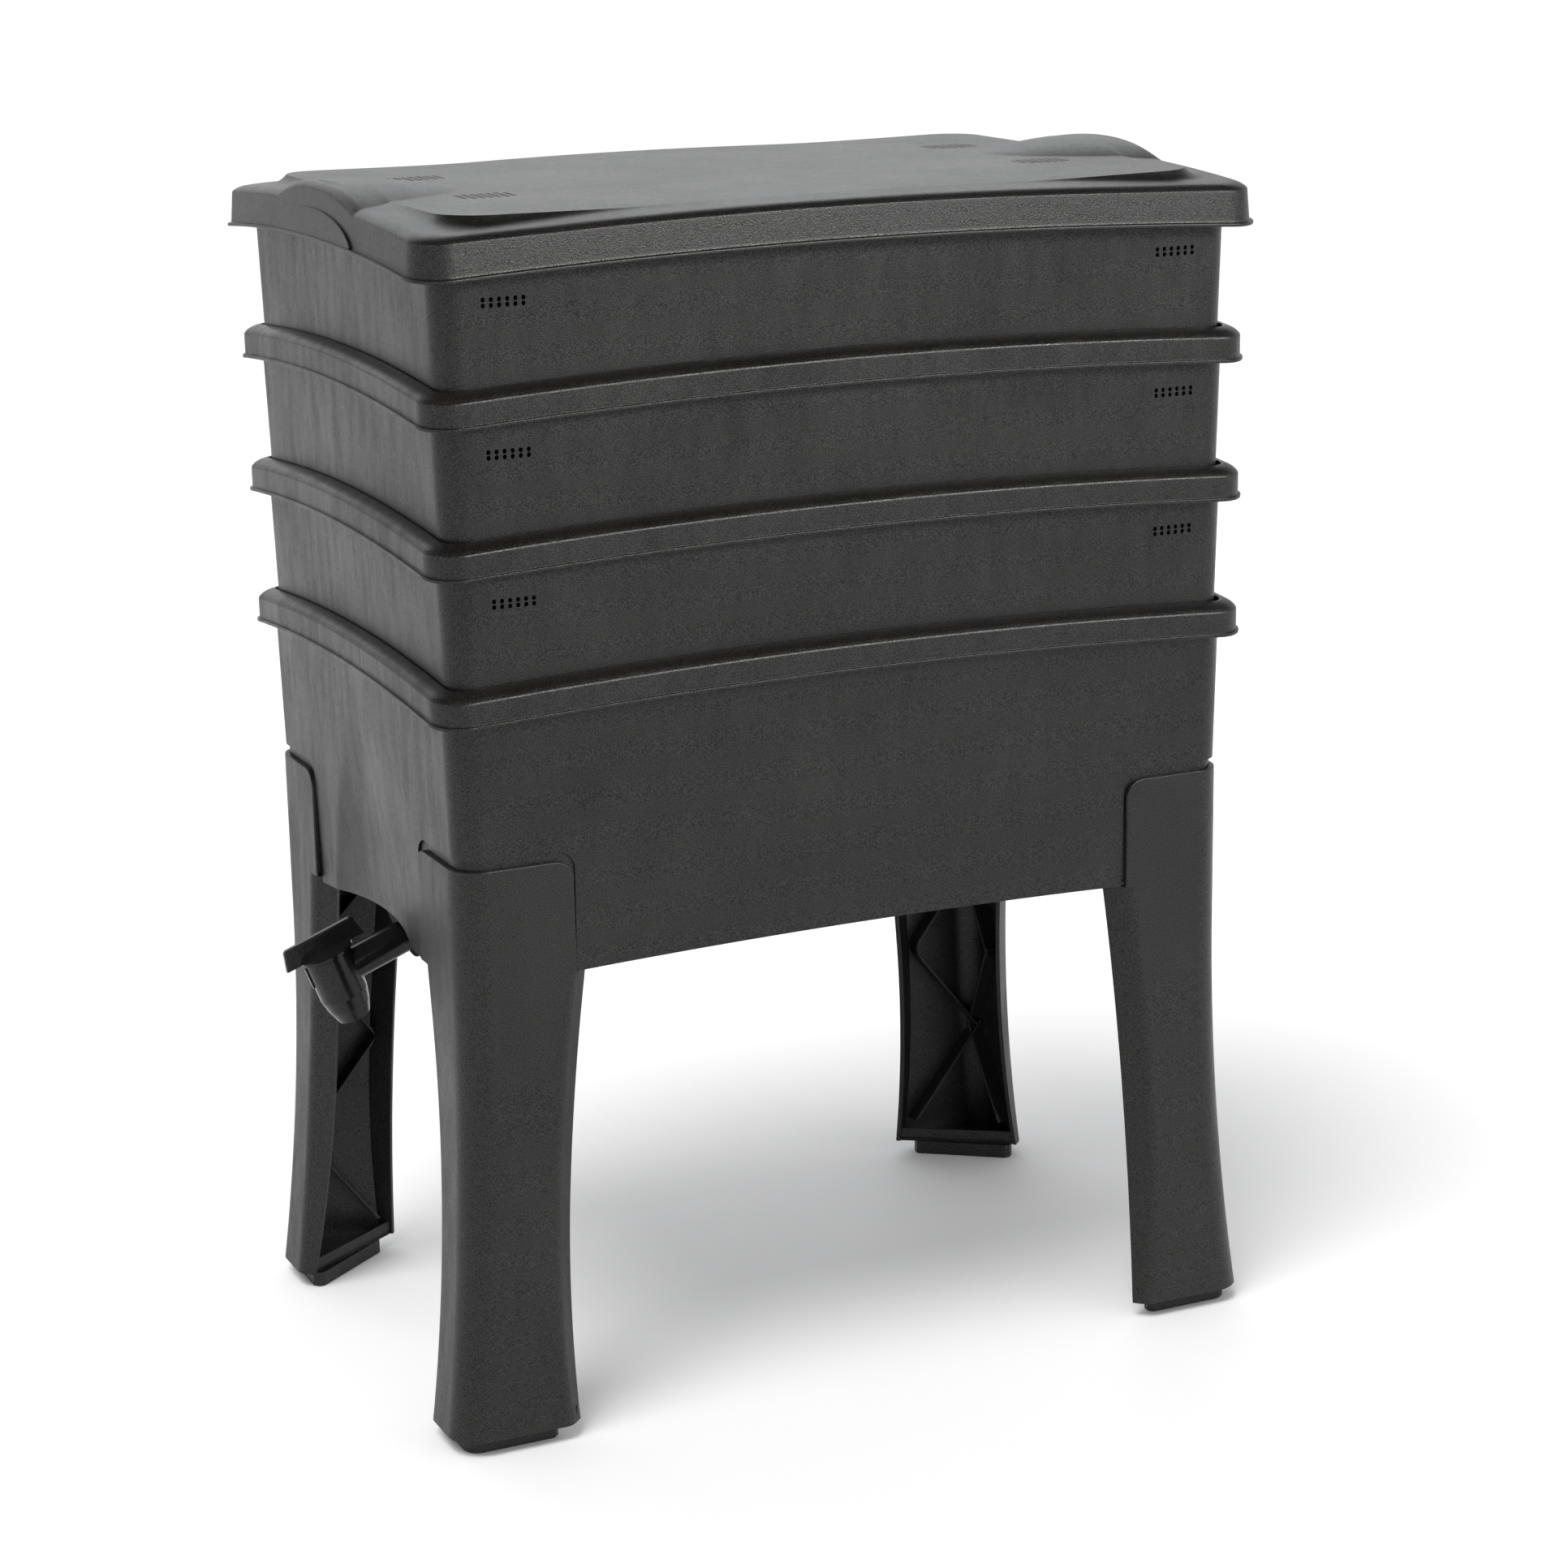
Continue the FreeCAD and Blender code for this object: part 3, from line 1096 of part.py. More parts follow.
def build_lid():
    line = n("lid_line")
    hl, hw, rc = d("lid_half_len"), d("lid_half_wid"), d("lid_corner")
    crown_off = d("deck_crown") - d("lid_line")
    deck_r = (d("deck_rad_long"), d("deck_rad_wide"))

    # outer form: arched border band with a flatter raised deck
    block = common("lid_block", prism("lid_prism", hl, hw, rc, -40, 60),
                   arched("lid_slab", -d("lip_tall") * 0.5, d("lid_top")))
    top = n("lid_top")
    block = fillet("lid_block_round", block, n("lid_round"),
                   lambda e, c: c.z > arch_height(c.x, c.y) + top - 1.0
                   and (abs(abs(c.x) - hl.v) < 30 or abs(abs(c.y) - hw.v) < 30))
    deck_zone = prism("lid_deck_zone", d("deck_half_len"), d("deck_half_wid"), d("deck_corner"), -41, 61)
    band = cut("lid_band", block, deck_zone)
    deck = common("lid_deck", prism("lid_deck_prism", d("deck_half_len"), d("deck_half_wid"), d("deck_corner"), -30, 60),
                  arched("lid_deck_slab", as_size(-30), ZERO, deck_r[0], deck_r[1], crown_off))
    lip = common("lid_lip",
                 prism("lid_lip_prism", hl + d("lid_lip"), hw + d("lid_lip"), rc + d("lid_lip"), -40, 60),
                 arched("lid_lip_slab", -d("lip_tall"), ZERO))

    # humps at both ends: an arched cone whose ridge falls in a curve to a point on the deck
    def lid_surface(x, y):
        x, y = abs(x), abs(y)
        if x < n("deck_half_len"):
            return n("deck_crown") - line - x * x / (2 * deck_r[0].v) - y * y / (2 * deck_r[1].v)
        return arch_height(x, y) + n("lid_top")

    def hump(tag, sink, side):
        edge, run = n("lid_half_len"), n("hump_run")
        tip, top_x = edge - run, edge - n("hump_peak_in")
        peak = n("hump_peak") - line

        def ridge(x):
            return peak - n("hump_rise") * ((top_x - x) / (top_x - tip)) ** 1.92

        rows = []                      # x, half width, ridge height, foot height
        for t in (0.004, 0.03, 0.1, 0.2, 0.34, 0.5, 0.68, 0.82, 0.9):
            x = tip + t * run
            w = n("hump_half") * math.sqrt(t)
            rows.append((x, w, ridge(x), lid_surface(x, w) - 0.3))
        for back, fall in ((4.6, 0.6), (1.7, 2.2), (0.0, 4.5)):
            x = edge - back
            w = n("hump_half") * math.sqrt((x - tip) / run)
            rows.append((x, w, peak - fall, lid_surface(x, w) - 0.3 - fall * 0.6))
        if sink:
            rows = [(x, w - sink, r - sink, f - sink) for x, w, r, f in rows
                    if w > 20 and x < edge - 4] + [(edge - sink, n("hump_half") - sink * 1.5,
                                                     peak - 3.4 - sink, 26.0)]

        def section(x, w, top, foot):
            x, low = side * x, 10.0
            a, m, b = V(x, -w, foot), V(x, 0, top), V(x, w, foot)
            c, e = V(x, w, low), V(x, -w, low)
            return Part.Wire([Part.Arc(a, m, b).toShape(), Part.LineSegment(b, c).toShape(),
                              Part.LineSegment(c, e).toShape(), Part.LineSegment(e, a).toShape()])

        return Part.makeLoft([section(*row) for row in rows], True, True)

    humps = []
    rooms = []
    for side, tag in ((-1, "left"), (1, "right")):
        h = doc.addObject("Part::Feature", "lid_hump_" + tag)
        h.Shape = hump(tag, 0.0, side)
        humps.append(h)
        r = doc.addObject("Part::Feature", "lid_hump_room_" + tag)
        r.Shape = hump(tag, 2.0, side)
        rooms.append(r)

    # panels on the end skirts
    panels = []
    for side, tag in ((-1, "left"), (1, "right")):
        s = doc.addObject("Sketcher::SketchObject", "lid_panel_plan_" + tag)
        set_base(s, x=d("lid_half_len") * side - (1.0 if side > 0 else 0.0) + (1.0 if side < 0 else 0.0), rotation=ON_YZ)
        A, B, z0 = n("panel_half"), n("panel_tall"), n("panel_centre")
        el = Part.Ellipse(V(A, z0, 0), V(0, z0 + B, 0), V(0, z0, 0))
        s.addGeometry([Part.ArcOfEllipse(el, 0, math.pi), Part.LineSegment(V(-A, z0, 0), V(A, z0, 0))], False)
        p = extrude("lid_panel_" + tag, s, d("panel_out") + 1.0, V(side, 0, 0))
        panels.append(common("lid_panel_face_" + tag, p, arched("lid_panel_slab_" + tag, -d("lip_tall") * 0.5, as_size(40))))

    outer = fuse("lid_outer", [band, deck, lip] + humps + panels)

    wall, plate = d("lid_wall"), d("lid_plate")
    in_band = cut("lid_in_band",
                  common("lid_in_block",
                         prism("lid_in_prism", hl - wall, hw - wall, rc - wall, -50, 60),
                         arched("lid_in_slab", -45, d("lid_top") - plate)),
                  prism("lid_in_zone", d("deck_half_len") - plate, d("deck_half_wid") - plate,
                        d("deck_corner") - plate, -51, 61))
    in_deck = common("lid_in_deck",
                     prism("lid_in_deck_prism", d("deck_half_len") - plate, d("deck_half_wid") - plate,
                           d("deck_corner") - plate, -50, 60),
                     arched("lid_in_deck_slab", as_size(-60), -plate, deck_r[0], deck_r[1], crown_off))
    room = fuse("lid_room", [in_band, in_deck] + rooms)

    slots = []
    for sx in (-1, 1):
        for sy in (-1, 1):
            for i in range(7):
                rows = 4 if i in (0, 6) else 5
                for j in range(rows):
                    x = sx * n("grille_x") + (i - 3) * 5.1
                    y = sy * n("grille_y") + (j - (rows - 1) / 2.0) * 5.0
                    slots.append(Part.makeBox(3.4, 3.0, 30, V(x - 1.7, y - 1.5, 20)))
    grille = doc.addObject("Part::Feature", "lid_vent_slots")
    grille.Shape = Part.makeCompound(slots)
    lid = cut("lid", cut("lid_hollow", outer, room), grille)
    lid.Label = "lid"
    set_base(lid, x=d("frame_shift"), z=d("lid_line"))
    return lid


lid = build_lid()

doc.recompute()

# ---------------------------------------------------------------------------
# Check every object, then write the pieces
# ---------------------------------------------------------------------------

NODES = [lid] + trays[::-1] + [collector] + legs + feet + tap
bad = []
for o in doc.Objects:
    if any(s in ("Invalid", "Error") for s in o.State):
        bad.append("%s: %s" % (o.Name, o.State))
for o in NODES:
    if o.Shape.isNull() or not o.Shape.isValid() or not o.Shape.Solids:
        bad.append("%s: null or invalid shape" % o.Label)
if bad:
    raise RuntimeError("failed objects: " + "; ".join(bad))

os.makedirs("parts", exist_ok=True)
for o in NODES:
    bb = o.Shape.BoundBox
    print("%-18s solids %d  vol %.1f cm3  x %.1f..%.1f  y %.1f..%.1f  z %.1f..%.1f" % (
        o.Label, len(o.Shape.Solids), o.Shape.Volume / 1000.0, bb.XMin, bb.XMax, bb.YMin, bb.YMax, bb.ZMin, bb.ZMax))
    o.Shape.exportStep(os.path.join("parts", o.Label + ".step"))
print("wrote", len(NODES), "nodes")
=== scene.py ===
import json
import math
import bpy
import bmesh
import numpy as np
from mathutils import Vector, Matrix

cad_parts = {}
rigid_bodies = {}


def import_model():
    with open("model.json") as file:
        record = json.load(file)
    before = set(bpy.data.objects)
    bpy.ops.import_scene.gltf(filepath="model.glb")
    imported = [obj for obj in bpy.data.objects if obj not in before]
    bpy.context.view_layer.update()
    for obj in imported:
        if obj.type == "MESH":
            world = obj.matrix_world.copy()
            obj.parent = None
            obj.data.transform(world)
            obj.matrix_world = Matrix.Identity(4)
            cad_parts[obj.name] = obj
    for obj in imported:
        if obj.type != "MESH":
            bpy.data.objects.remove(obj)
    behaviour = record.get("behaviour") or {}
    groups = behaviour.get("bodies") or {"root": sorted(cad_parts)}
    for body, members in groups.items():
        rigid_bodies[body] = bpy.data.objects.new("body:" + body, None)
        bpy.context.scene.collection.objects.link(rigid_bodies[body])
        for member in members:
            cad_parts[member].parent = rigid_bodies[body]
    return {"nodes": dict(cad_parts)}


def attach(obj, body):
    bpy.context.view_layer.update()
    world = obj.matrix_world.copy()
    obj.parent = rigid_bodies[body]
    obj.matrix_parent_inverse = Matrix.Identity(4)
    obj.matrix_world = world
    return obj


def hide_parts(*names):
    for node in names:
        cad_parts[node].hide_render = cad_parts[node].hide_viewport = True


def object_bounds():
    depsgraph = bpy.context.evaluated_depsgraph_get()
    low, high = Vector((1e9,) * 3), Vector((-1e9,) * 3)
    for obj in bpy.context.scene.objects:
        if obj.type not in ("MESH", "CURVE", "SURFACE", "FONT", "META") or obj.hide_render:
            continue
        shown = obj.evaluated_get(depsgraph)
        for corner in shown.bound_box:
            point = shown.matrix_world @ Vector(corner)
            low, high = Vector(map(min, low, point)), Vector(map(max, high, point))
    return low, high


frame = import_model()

CAD_BOX = [list(map(float, c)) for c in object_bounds()]
NODES = frame["nodes"]
SH = 19.327              # mm: the stand's centre line lies this far along +X from the origin
rng = np.random.default_rng(7)

# ---------------------------------------------------------------------------
# Materials
# ---------------------------------------------------------------------------


def new_material(name):
    m = bpy.data.materials.new(name)
    m.use_nodes = True
    nt = m.node_tree
    for nd in list(nt.nodes):
        nt.nodes.remove(nd)
    out = nt.nodes.new("ShaderNodeOutputMaterial")
    bsdf = nt.nodes.new("ShaderNodeBsdfPrincipled")
    nt.links.new(bsdf.outputs["BSDF"], out.inputs["Surface"])
    return m, nt, bsdf


def plastic(name, dark, light, rough=(0.42, 0.58), streak=0.055, grain=0.0002, grain_scale=1600.0, specular=0.33, mottle=0.0001):
    """Moulded plastic: fine grain in tone and bump, soft flow variation in tone and roughness, faint drawn streaks
    in roughness.
    """
    m, nt, bsdf = new_material(name)
    N, L = nt.nodes, nt.links

    def noise(scale, detail=2.0, rough_=0.5, vec=None):
        t = N.new("ShaderNodeTexNoise")
        t.inputs["Scale"].default_value = scale
        t.inputs["Detail"].default_value = detail
        t.inputs["Roughness"].default_value = rough_
        L.new(vec or geo.outputs["Object"], t.inputs["Vector"])
        return t.outputs["Fac"]

    def remap(value, a, b, c, d):
        r = N.new("ShaderNodeMapRange")
        r.inputs["From Min"].default_value = a
        r.inputs["From Max"].default_value = b
        r.inputs["To Min"].default_value = c
        r.inputs["To Max"].default_value = d
        L.new(value, r.inputs["Value"])
        return r.outputs["Result"]

    def math_node(op, a, b):
        t = N.new("ShaderNodeMath")
        t.operation = op
        for k, v in enumerate((a, b)):
            if isinstance(v, (int, float)):
                t.inputs[k].default_value = v
            else:
                L.new(v, t.inputs[k])
        return t.outputs[0]

    geo = N.new("ShaderNodeTexCoord")
    stretch = N.new("ShaderNodeMapping")
    stretch.inputs["Scale"].default_value = (1.0, 1.0, 0.22)
    L.new(geo.outputs["Object"], stretch.inputs["Vector"])
    flow = noise(11.0, 4.0, 0.55)
    draw = noise(95.0, 3.0, 0.6, stretch.outputs["Vector"])
    fine = noise(grain_scale, 0.0, 0.5)
    mid = noise(230.0, 3.0, 0.6)

    mix = N.new("ShaderNodeMix")
    mix.data_type = "RGBA"
    mix.inputs["A"].default_value = (*dark, 1)
    mix.inputs["B"].default_value = (*light, 1)
    share = math_node("ADD", remap(fine, 0.3, 0.7, 0.0, 0.8), remap(flow, 0.3, 0.7, 0.0, 0.2))
    L.new(share, mix.inputs["Factor"])
    L.new(mix.outputs["Result"], bsdf.inputs["Base Color"])

    r1 = remap(flow, 0.3, 0.7, rough[0], rough[1])
    r2 = remap(draw, 0.35, 0.7, -streak, streak)
    r3 = remap(mid, 0.3, 0.7, -0.02, 0.02)
    L.new(math_node("ADD", math_node("ADD", r1, r2), r3), bsdf.inputs["Roughness"])

    bump = N.new("ShaderNodeBump")
    bump.inputs["Strength"].default_value = 0.6
    bump.inputs["Distance"].default_value = grain
    L.new(fine, bump.inputs["Height"])
    bump2 = N.new("ShaderNodeBump")
    bump2.inputs["Strength"].default_value = 0.5
    bump2.inputs["Distance"].default_value = mottle
    L.new(mid, bump2.inputs["Height"])
    L.new(bump.outputs["Normal"], bump2.inputs["Normal"])
    L.new(bump2.outputs["Normal"], bsdf.inputs["Normal"])
    L.new(remap(fine, 0.36, 0.64, specular * 0.72, specular * 1.28), bsdf.inputs["Specular IOR Level"])
    return m


M_BODY = plastic("wormery_plastic", (0.0012, 0.0012, 0.0012), (0.0164, 0.0149, 0.0140), rough=(0.34, 0.44))
M_LEG = plastic("leg_plastic", (0.0012, 0.0012, 0.0012), (0.0164, 0.0149, 0.0140), rough=(0.36, 0.46))
M_LID = plastic("lid_plastic", (0.0012, 0.0012, 0.0012), (0.0164, 0.0149, 0.0140), rough=(0.37, 0.42), streak=0.012,
                grain=0.0002, mottle=0.00003)
M_TAP = plastic("tap_plastic", (0.004, 0.004, 0.004), (0.009, 0.0088, 0.0086), rough=(0.16, 0.24), grain=0.00002, specular=0.3)
M_RUBBER = plastic("seal_rubber", (0.010, 0.010, 0.010), (0.018, 0.018, 0.018), rough=(0.6, 0.75))

MAT = {}
for nm in NODES:
    if nm.startswith("leg_") or nm.startswith("foot_"):
        MAT[nm] = M_LEG
    elif nm.startswith("tap_"):
        MAT[nm] = M_RUBBER if ("washer" in nm or "ring" in nm) else M_TAP
    elif nm == "lid":
        MAT[nm] = M_LID
    else:
        MAT[nm] = M_BODY
for nm, ob in NODES.items():
    ob.data.materials.clear()
    ob.data.materials.append(MAT[nm])

# ---------------------------------------------------------------------------
# Mesh tools (millimetres, about the stand's own centre line)
# ---------------------------------------------------------------------------

RIM_A, RIM_B, RIM_R = 269.5, 182.0, 21.0
RISE_L, RISE_S = 8.4, 9.0
ARC_L = RIM_A ** 2 / (2 * RISE_L) + RISE_L / 2
ARC_S = RIM_B ** 2 / (2 * RISE_S) + RISE_S / 2


def arch(x, y):
    """Height of the double arch over its plan corners."""
    r = ARC_S - (ARC_L - np.sqrt(ARC_L ** 2 - x * x))
    return RISE_L + RISE_S - ARC_S + np.sqrt(r * r - y * y)


def sections(lo, hi, step, extra=()):
    """Sorted values from lo to hi about step apart, with some given values in between."""
    n = max(1, int(round((hi - lo) / step)))
    vals = list(np.linspace(lo, hi, n + 1))
    for e in extra:
        if lo < e < hi:
            vals = [v for v in vals if abs(v - e) > step * 0.3 or v in (lo, hi)]
            vals.append(e)
    return np.array(sorted(set(np.round(vals, 5))))


class Ring:
    """Stations round a rounded rectangle, anticlockwise from the front."""

    def __init__(self, a, b, r, xs, ys, n_arc):
        u, v, nx, ny = [], [], [], []

        def straight(vals, half, horizontal, sign):
            for t in vals:
                s = t / half
                if horizontal:
                    u.append(s); v.append(sign); nx.append(0.0); ny.append(sign)
                else:
                    u.append(sign); v.append(s); nx.append(sign); ny.append(0.0)

        def corner(su, sv, t0):
            for k in range(1, n_arc):
                th = math.radians(t0 + 90.0 * k / n_arc)
                u.append(su); v.append(sv); nx.append(math.cos(th)); ny.append(math.sin(th))

        ha, hb = a - r, b - r
        straight(xs, ha, True, -1.0)
        corner(1.0, -1.0, 270)
        straight(ys, hb, False, 1.0)
        corner(1.0, 1.0, 0)
        straight(xs[::-1], ha, True, 1.0)
        corner(-1.0, 1.0, 90)
        straight(ys[::-1], hb, False, -1.0)
        corner(-1.0, -1.0, 180)
        self.u, self.v, self.nx, self.ny = map(np.array, (u, v, nx, ny))
        self.n = len(u)
        x, y = self.at(a, b, r)
        self.T = arch(x, y)
        self.x, self.y = x, y

    def at(self, a, b, r):
        return self.u * (a - r) + r * self.nx, self.v * (b - r) + r * self.ny


def object_from(name, verts, faces, smooth=35.0, weighted=True, material=None):
    me = bpy.data.meshes.new(name)
    v = np.asarray(verts, float)
    v = (v + np.array([SH, 0, 0])) * 0.001
    me.from_pydata([tuple(p) for p in v], [], [tuple(int(i) for i in f) for f in faces])
    me.update()
    ob = bpy.data.objects.new(name, me)
    bpy.context.scene.collection.objects.link(ob)
    if material:
        me.materials.append(material)
    return ob


def finish_mesh(ob, angle=35.0, weld=0.00001, material=None, weighted=True):
    """Merge doubles, face outward, shade smooth with sharp edges over the angle."""
    bm = bmesh.new()
    bm.from_mesh(ob.data)
    if weld:
        bmesh.ops.remove_doubles(bm, verts=bm.verts, dist=weld)
    bmesh.ops.recalc_face_normals(bm, faces=bm.faces)
    bm.to_mesh(ob.data)
    bm.free()
    ob.data.polygons.foreach_set("use_smooth", [True] * len(ob.data.polygons))
    ob.data.set_sharp_from_angle(angle=math.radians(angle))
    if weighted:
        w = ob.modifiers.new("weighted", "WEIGHTED_NORMAL")
        w.keep_sharp = True
        w.weight = 60
    if material:
        ob.data.materials.clear()
        ob.data.materials.append(material)
    return ob


def join_raw(parts):
    """Concatenate (verts, faces) pairs."""
    vs, fs, k = [], [], 0
    for v, f in parts:
        vs.append(np.asarray(v, float))
        fs += [tuple(i + k for i in face) for face in f]
        k += len(v)
    return np.vstack(vs), fs


def strip_faces(rows, n, closed=True, start=0):
    """Quads between successive rows of n stations."""
    fs = []
    m = n if closed else n - 1
    for i in range(rows - 1):
        for j in range(m):
            a, b = start + i * n + j, start + i * n + (j + 1) % n
            fs.append((a, b, b + n, a + n))
    return fs


def soft_box(x0, x1, y0, y1, z0, z1, r=0.6, k=2):
    """Box with rounded edges, as (verts, faces)."""
    bm = bmesh.new()
    bmesh.ops.create_cube(bm, size=1.0)
    for v in bm.verts:
        v.co = Vector((x0 if v.co.x < 0 else x1, y0 if v.co.y < 0 else y1, z0 if v.co.z < 0 else z1))
    bmesh.ops.bevel(bm, geom=bm.edges[:], offset=r, segments=k, profile=0.5, affect="EDGES")
    bm.verts.ensure_lookup_table()
    vs = [tuple(v.co) for v in bm.verts]
    fs = [tuple(v.index for v in f.verts) for f in bm.faces]
    bm.free()
    return np.array(vs), fs


def lean_rib(across, lo, hi, z0, z1, slope, along_x, sign):
    """Support rib following the wall's draft."""
    v, f = soft_box(-1.25, 1.25, lo, hi, z0, z1, 0.5)
    v[:, 1] += (v[:, 2] - z1) * slope
    v[:, 1] *= sign
    v[:, 0] += across
    if not along_x:
        v = v[:, [1, 0, 2]]
    return v, f


def boolean(ob, cutter, op="DIFFERENCE"):
    """Cut ob with cutter and keep the result in ob's mesh."""
    md = ob.modifiers.new("cut", "BOOLEAN")
    md.operation = op
    md.solver = "EXACT"
    md.use_self = False
    md.object = cutter
    dg = bpy.context.evaluated_depsgraph_get()
    me = bpy.data.meshes.new_from_object(ob.evaluated_get(dg))
    ob.modifiers.clear()
    old = ob.data
    ob.data = me
    bpy.data.meshes.remove(old)
    me.name = ob.name
    return ob


def finish_cutter(ob):
    bm = bmesh.new()
    bm.from_mesh(ob.data)
    bmesh.ops.remove_doubles(bm, verts=bm.verts, dist=1e-7)
    bmesh.ops.recalc_face_normals(bm, faces=bm.faces)
    bm.to_mesh(ob.data)
    bm.free()


def drop(ob):
    me = ob.data
    bpy.data.objects.remove(ob)
    bpy.data.meshes.remove(me)


def rounded(p0, p1, p2, r, n=3):
    """Arc of radius about r between the directions p0-p1 and p1-p2 of a profile; points in order."""
    p0, p1, p2 = map(lambda p: np.array(p, float), (p0, p1, p2))
    d0 = (p0 - p1) / np.linalg.norm(p0 - p1)
    d1 = (p2 - p1) / np.linalg.norm(p2 - p1)
    a, b = p1 + d0 * r, p1 + d1 * r
    out = []
    for k in range(n + 1):
        t = k / n
        out.append((1 - t) ** 2 * a + 2 * t * (1 - t) * p1 + t * t * b)
    return [tuple(p) for p in out]


# ---------------------------------------------------------------------------
# Rim profile, shared by the base and the trays
# ---------------------------------------------------------------------------
# A profile row is (inset, radius, height, arch share); inset is measured inwards
# from the rim skirt, radius is the plan corner radius of that row.

SINK_X = (-183.0, -62.0, 61.0, 180.0)
SINK_Y = (-112.0, -41.0, 40.0, 113.0)


def skirt_marks(x, y, horizontal):
    """Shallow sink marks where the inner stiffeners meet the skirt."""
    m = np.zeros_like(x)
    for c in SINK_X:
        m += np.where(horizontal, np.exp(-((x - c) / 0.9) ** 2), 0)
    for c in SINK_Y:
        m += np.where(~horizontal, np.exp(-((y - c) / 0.9) ** 2), 0)
    return m


def rim_rows(top=17.8, shoulder=4.6):
    """Rows from the flange under the rim, round the skirt, over the top and down the mouth."""
    rows = []

    def add(inset, z, w=1.0, r=None, mark=0.0):
        rows.append((inset, RIM_R - inset if r is None else r, z, w, mark))

    add(9.6, -2.2, r=18.2)
    add(8.3, -2.2, r=19.4)
    add(8.3, -1.6, r=19.4)
    add(8.3, 14.0, r=19.4)
    add(7.3, 15.3, r=18.9)
    add(3.4, 15.3)
    add(2.5, 14.2)
    add(2.5, -1.4)
    add(1.9, -2.2)
    for i, z in rounded((1.0, -2.2), (-1.6, -2.2), (-1.6, 0.0), 0.7):
        add(i, z)
    for i, z in rounded((-1.6, -1.0), (-1.6, 0.0), (0.0, 0.0), 0.55, 4):
        add(i, z)
    for i, z in rounded((-0.6, 0.0), (0.0, 0.0), (0.0, 2.0), 0.3):
        add(i, z)
    for z in (1.6, 3.0, 5.0, 8.0, 10.5, 12.2):
        add(0.0, z, mark=0.3 if z > 1.7 else 0.1)
    z0 = top - shoulder
    p0, p1, p2 = (0.0, z0), (2.6, top - 1.0), (9.4, top)
    curve = []
    k = 16
    for i in range(k + 1):
        t = i / k
        curve.append(((1 - t) ** 2 * p0[0] + 2 * t * (1 - t) * p1[0] + t * t * p2[0],
                      (1 - t) ** 2 * p0[1] + 2 * t * (1 - t) * p1[1] + t * t * p2[1]))
    for i, z in rounded((0.0, z0 - 0.9), (0.0, z0), curve[4], 0.9, 6):
        add(i, z, mark=0.28)
    for k, (i, z) in enumerate(curve[4:]):
        add(i, z, mark=max(0.0, 0.26 - 0.03 * k))
    add(9.6, top)
    for i, z in rounded((9.8, top), (11.1, top), (11.1, top - 2), 1.1):
        add(i, z)
    add(11.1, 12.0, w=0.95, r=16.6)
    add(11.1, 4.0, w=0.4, r=16.6)
    add(11.1, -3.9, w=0.0, r=16.6)
    return rows


def sweep(ring, rows, line, adjust=None):
    """Vertices of all rows; returns an array [rows, stations, 3]."""
    out = []
    horizontal = (np.abs(ring.ny) > 0.99)
    for row in rows:
        inset, r, z, w = row[:4]
        mark = row[4] if len(row) > 4 else 0.0
        x, y = ring.at(RIM_A - inset, RIM_B - inset, max(r, 0.5))
        zz = line + z + w * (arch(x, y) if w == 1.0 else ring.T)
        if mark:
            s = skirt_marks(x, y, horizontal) * mark
            x, y = x - ring.nx * s, y - ring.ny * s
        if adjust:
            x, y, zz = adjust(row, x, y, zz)
        out.append(np.stack([x, y, zz], 1))
    return np.array(out)


def station_lists(fine_x=(), fine_y=(), step=9.0, half_x=248.5, half_y=161.0):
    ex, ey = [], []
    for c in SINK_X:
        ex += [c + d for d in (-3.0, -2.0, -1.2, -0.6, 0.0, 0.6, 1.2, 2.0, 3.0)]
    for c in SINK_Y:
        ey += [c + d for d in (-3.0, -2.0, -1.2, -0.6, 0.0, 0.6, 1.2, 2.0, 3.0)]
    ex += list(fine_x)
    ey += list(fine_y)
    xs = sections(-half_x, half_x, step, ex)
    ys = sections(-half_y, half_y, step, ey)
    return xs, ys


# ---------------------------------------------------------------------------
# Trays
# ---------------------------------------------------------------------------

def tray_inset(z, wall=0.0):
    """Inset of the tray wall at height z under the bead line."""
    return 9.7 - z * 0.027933 + wall


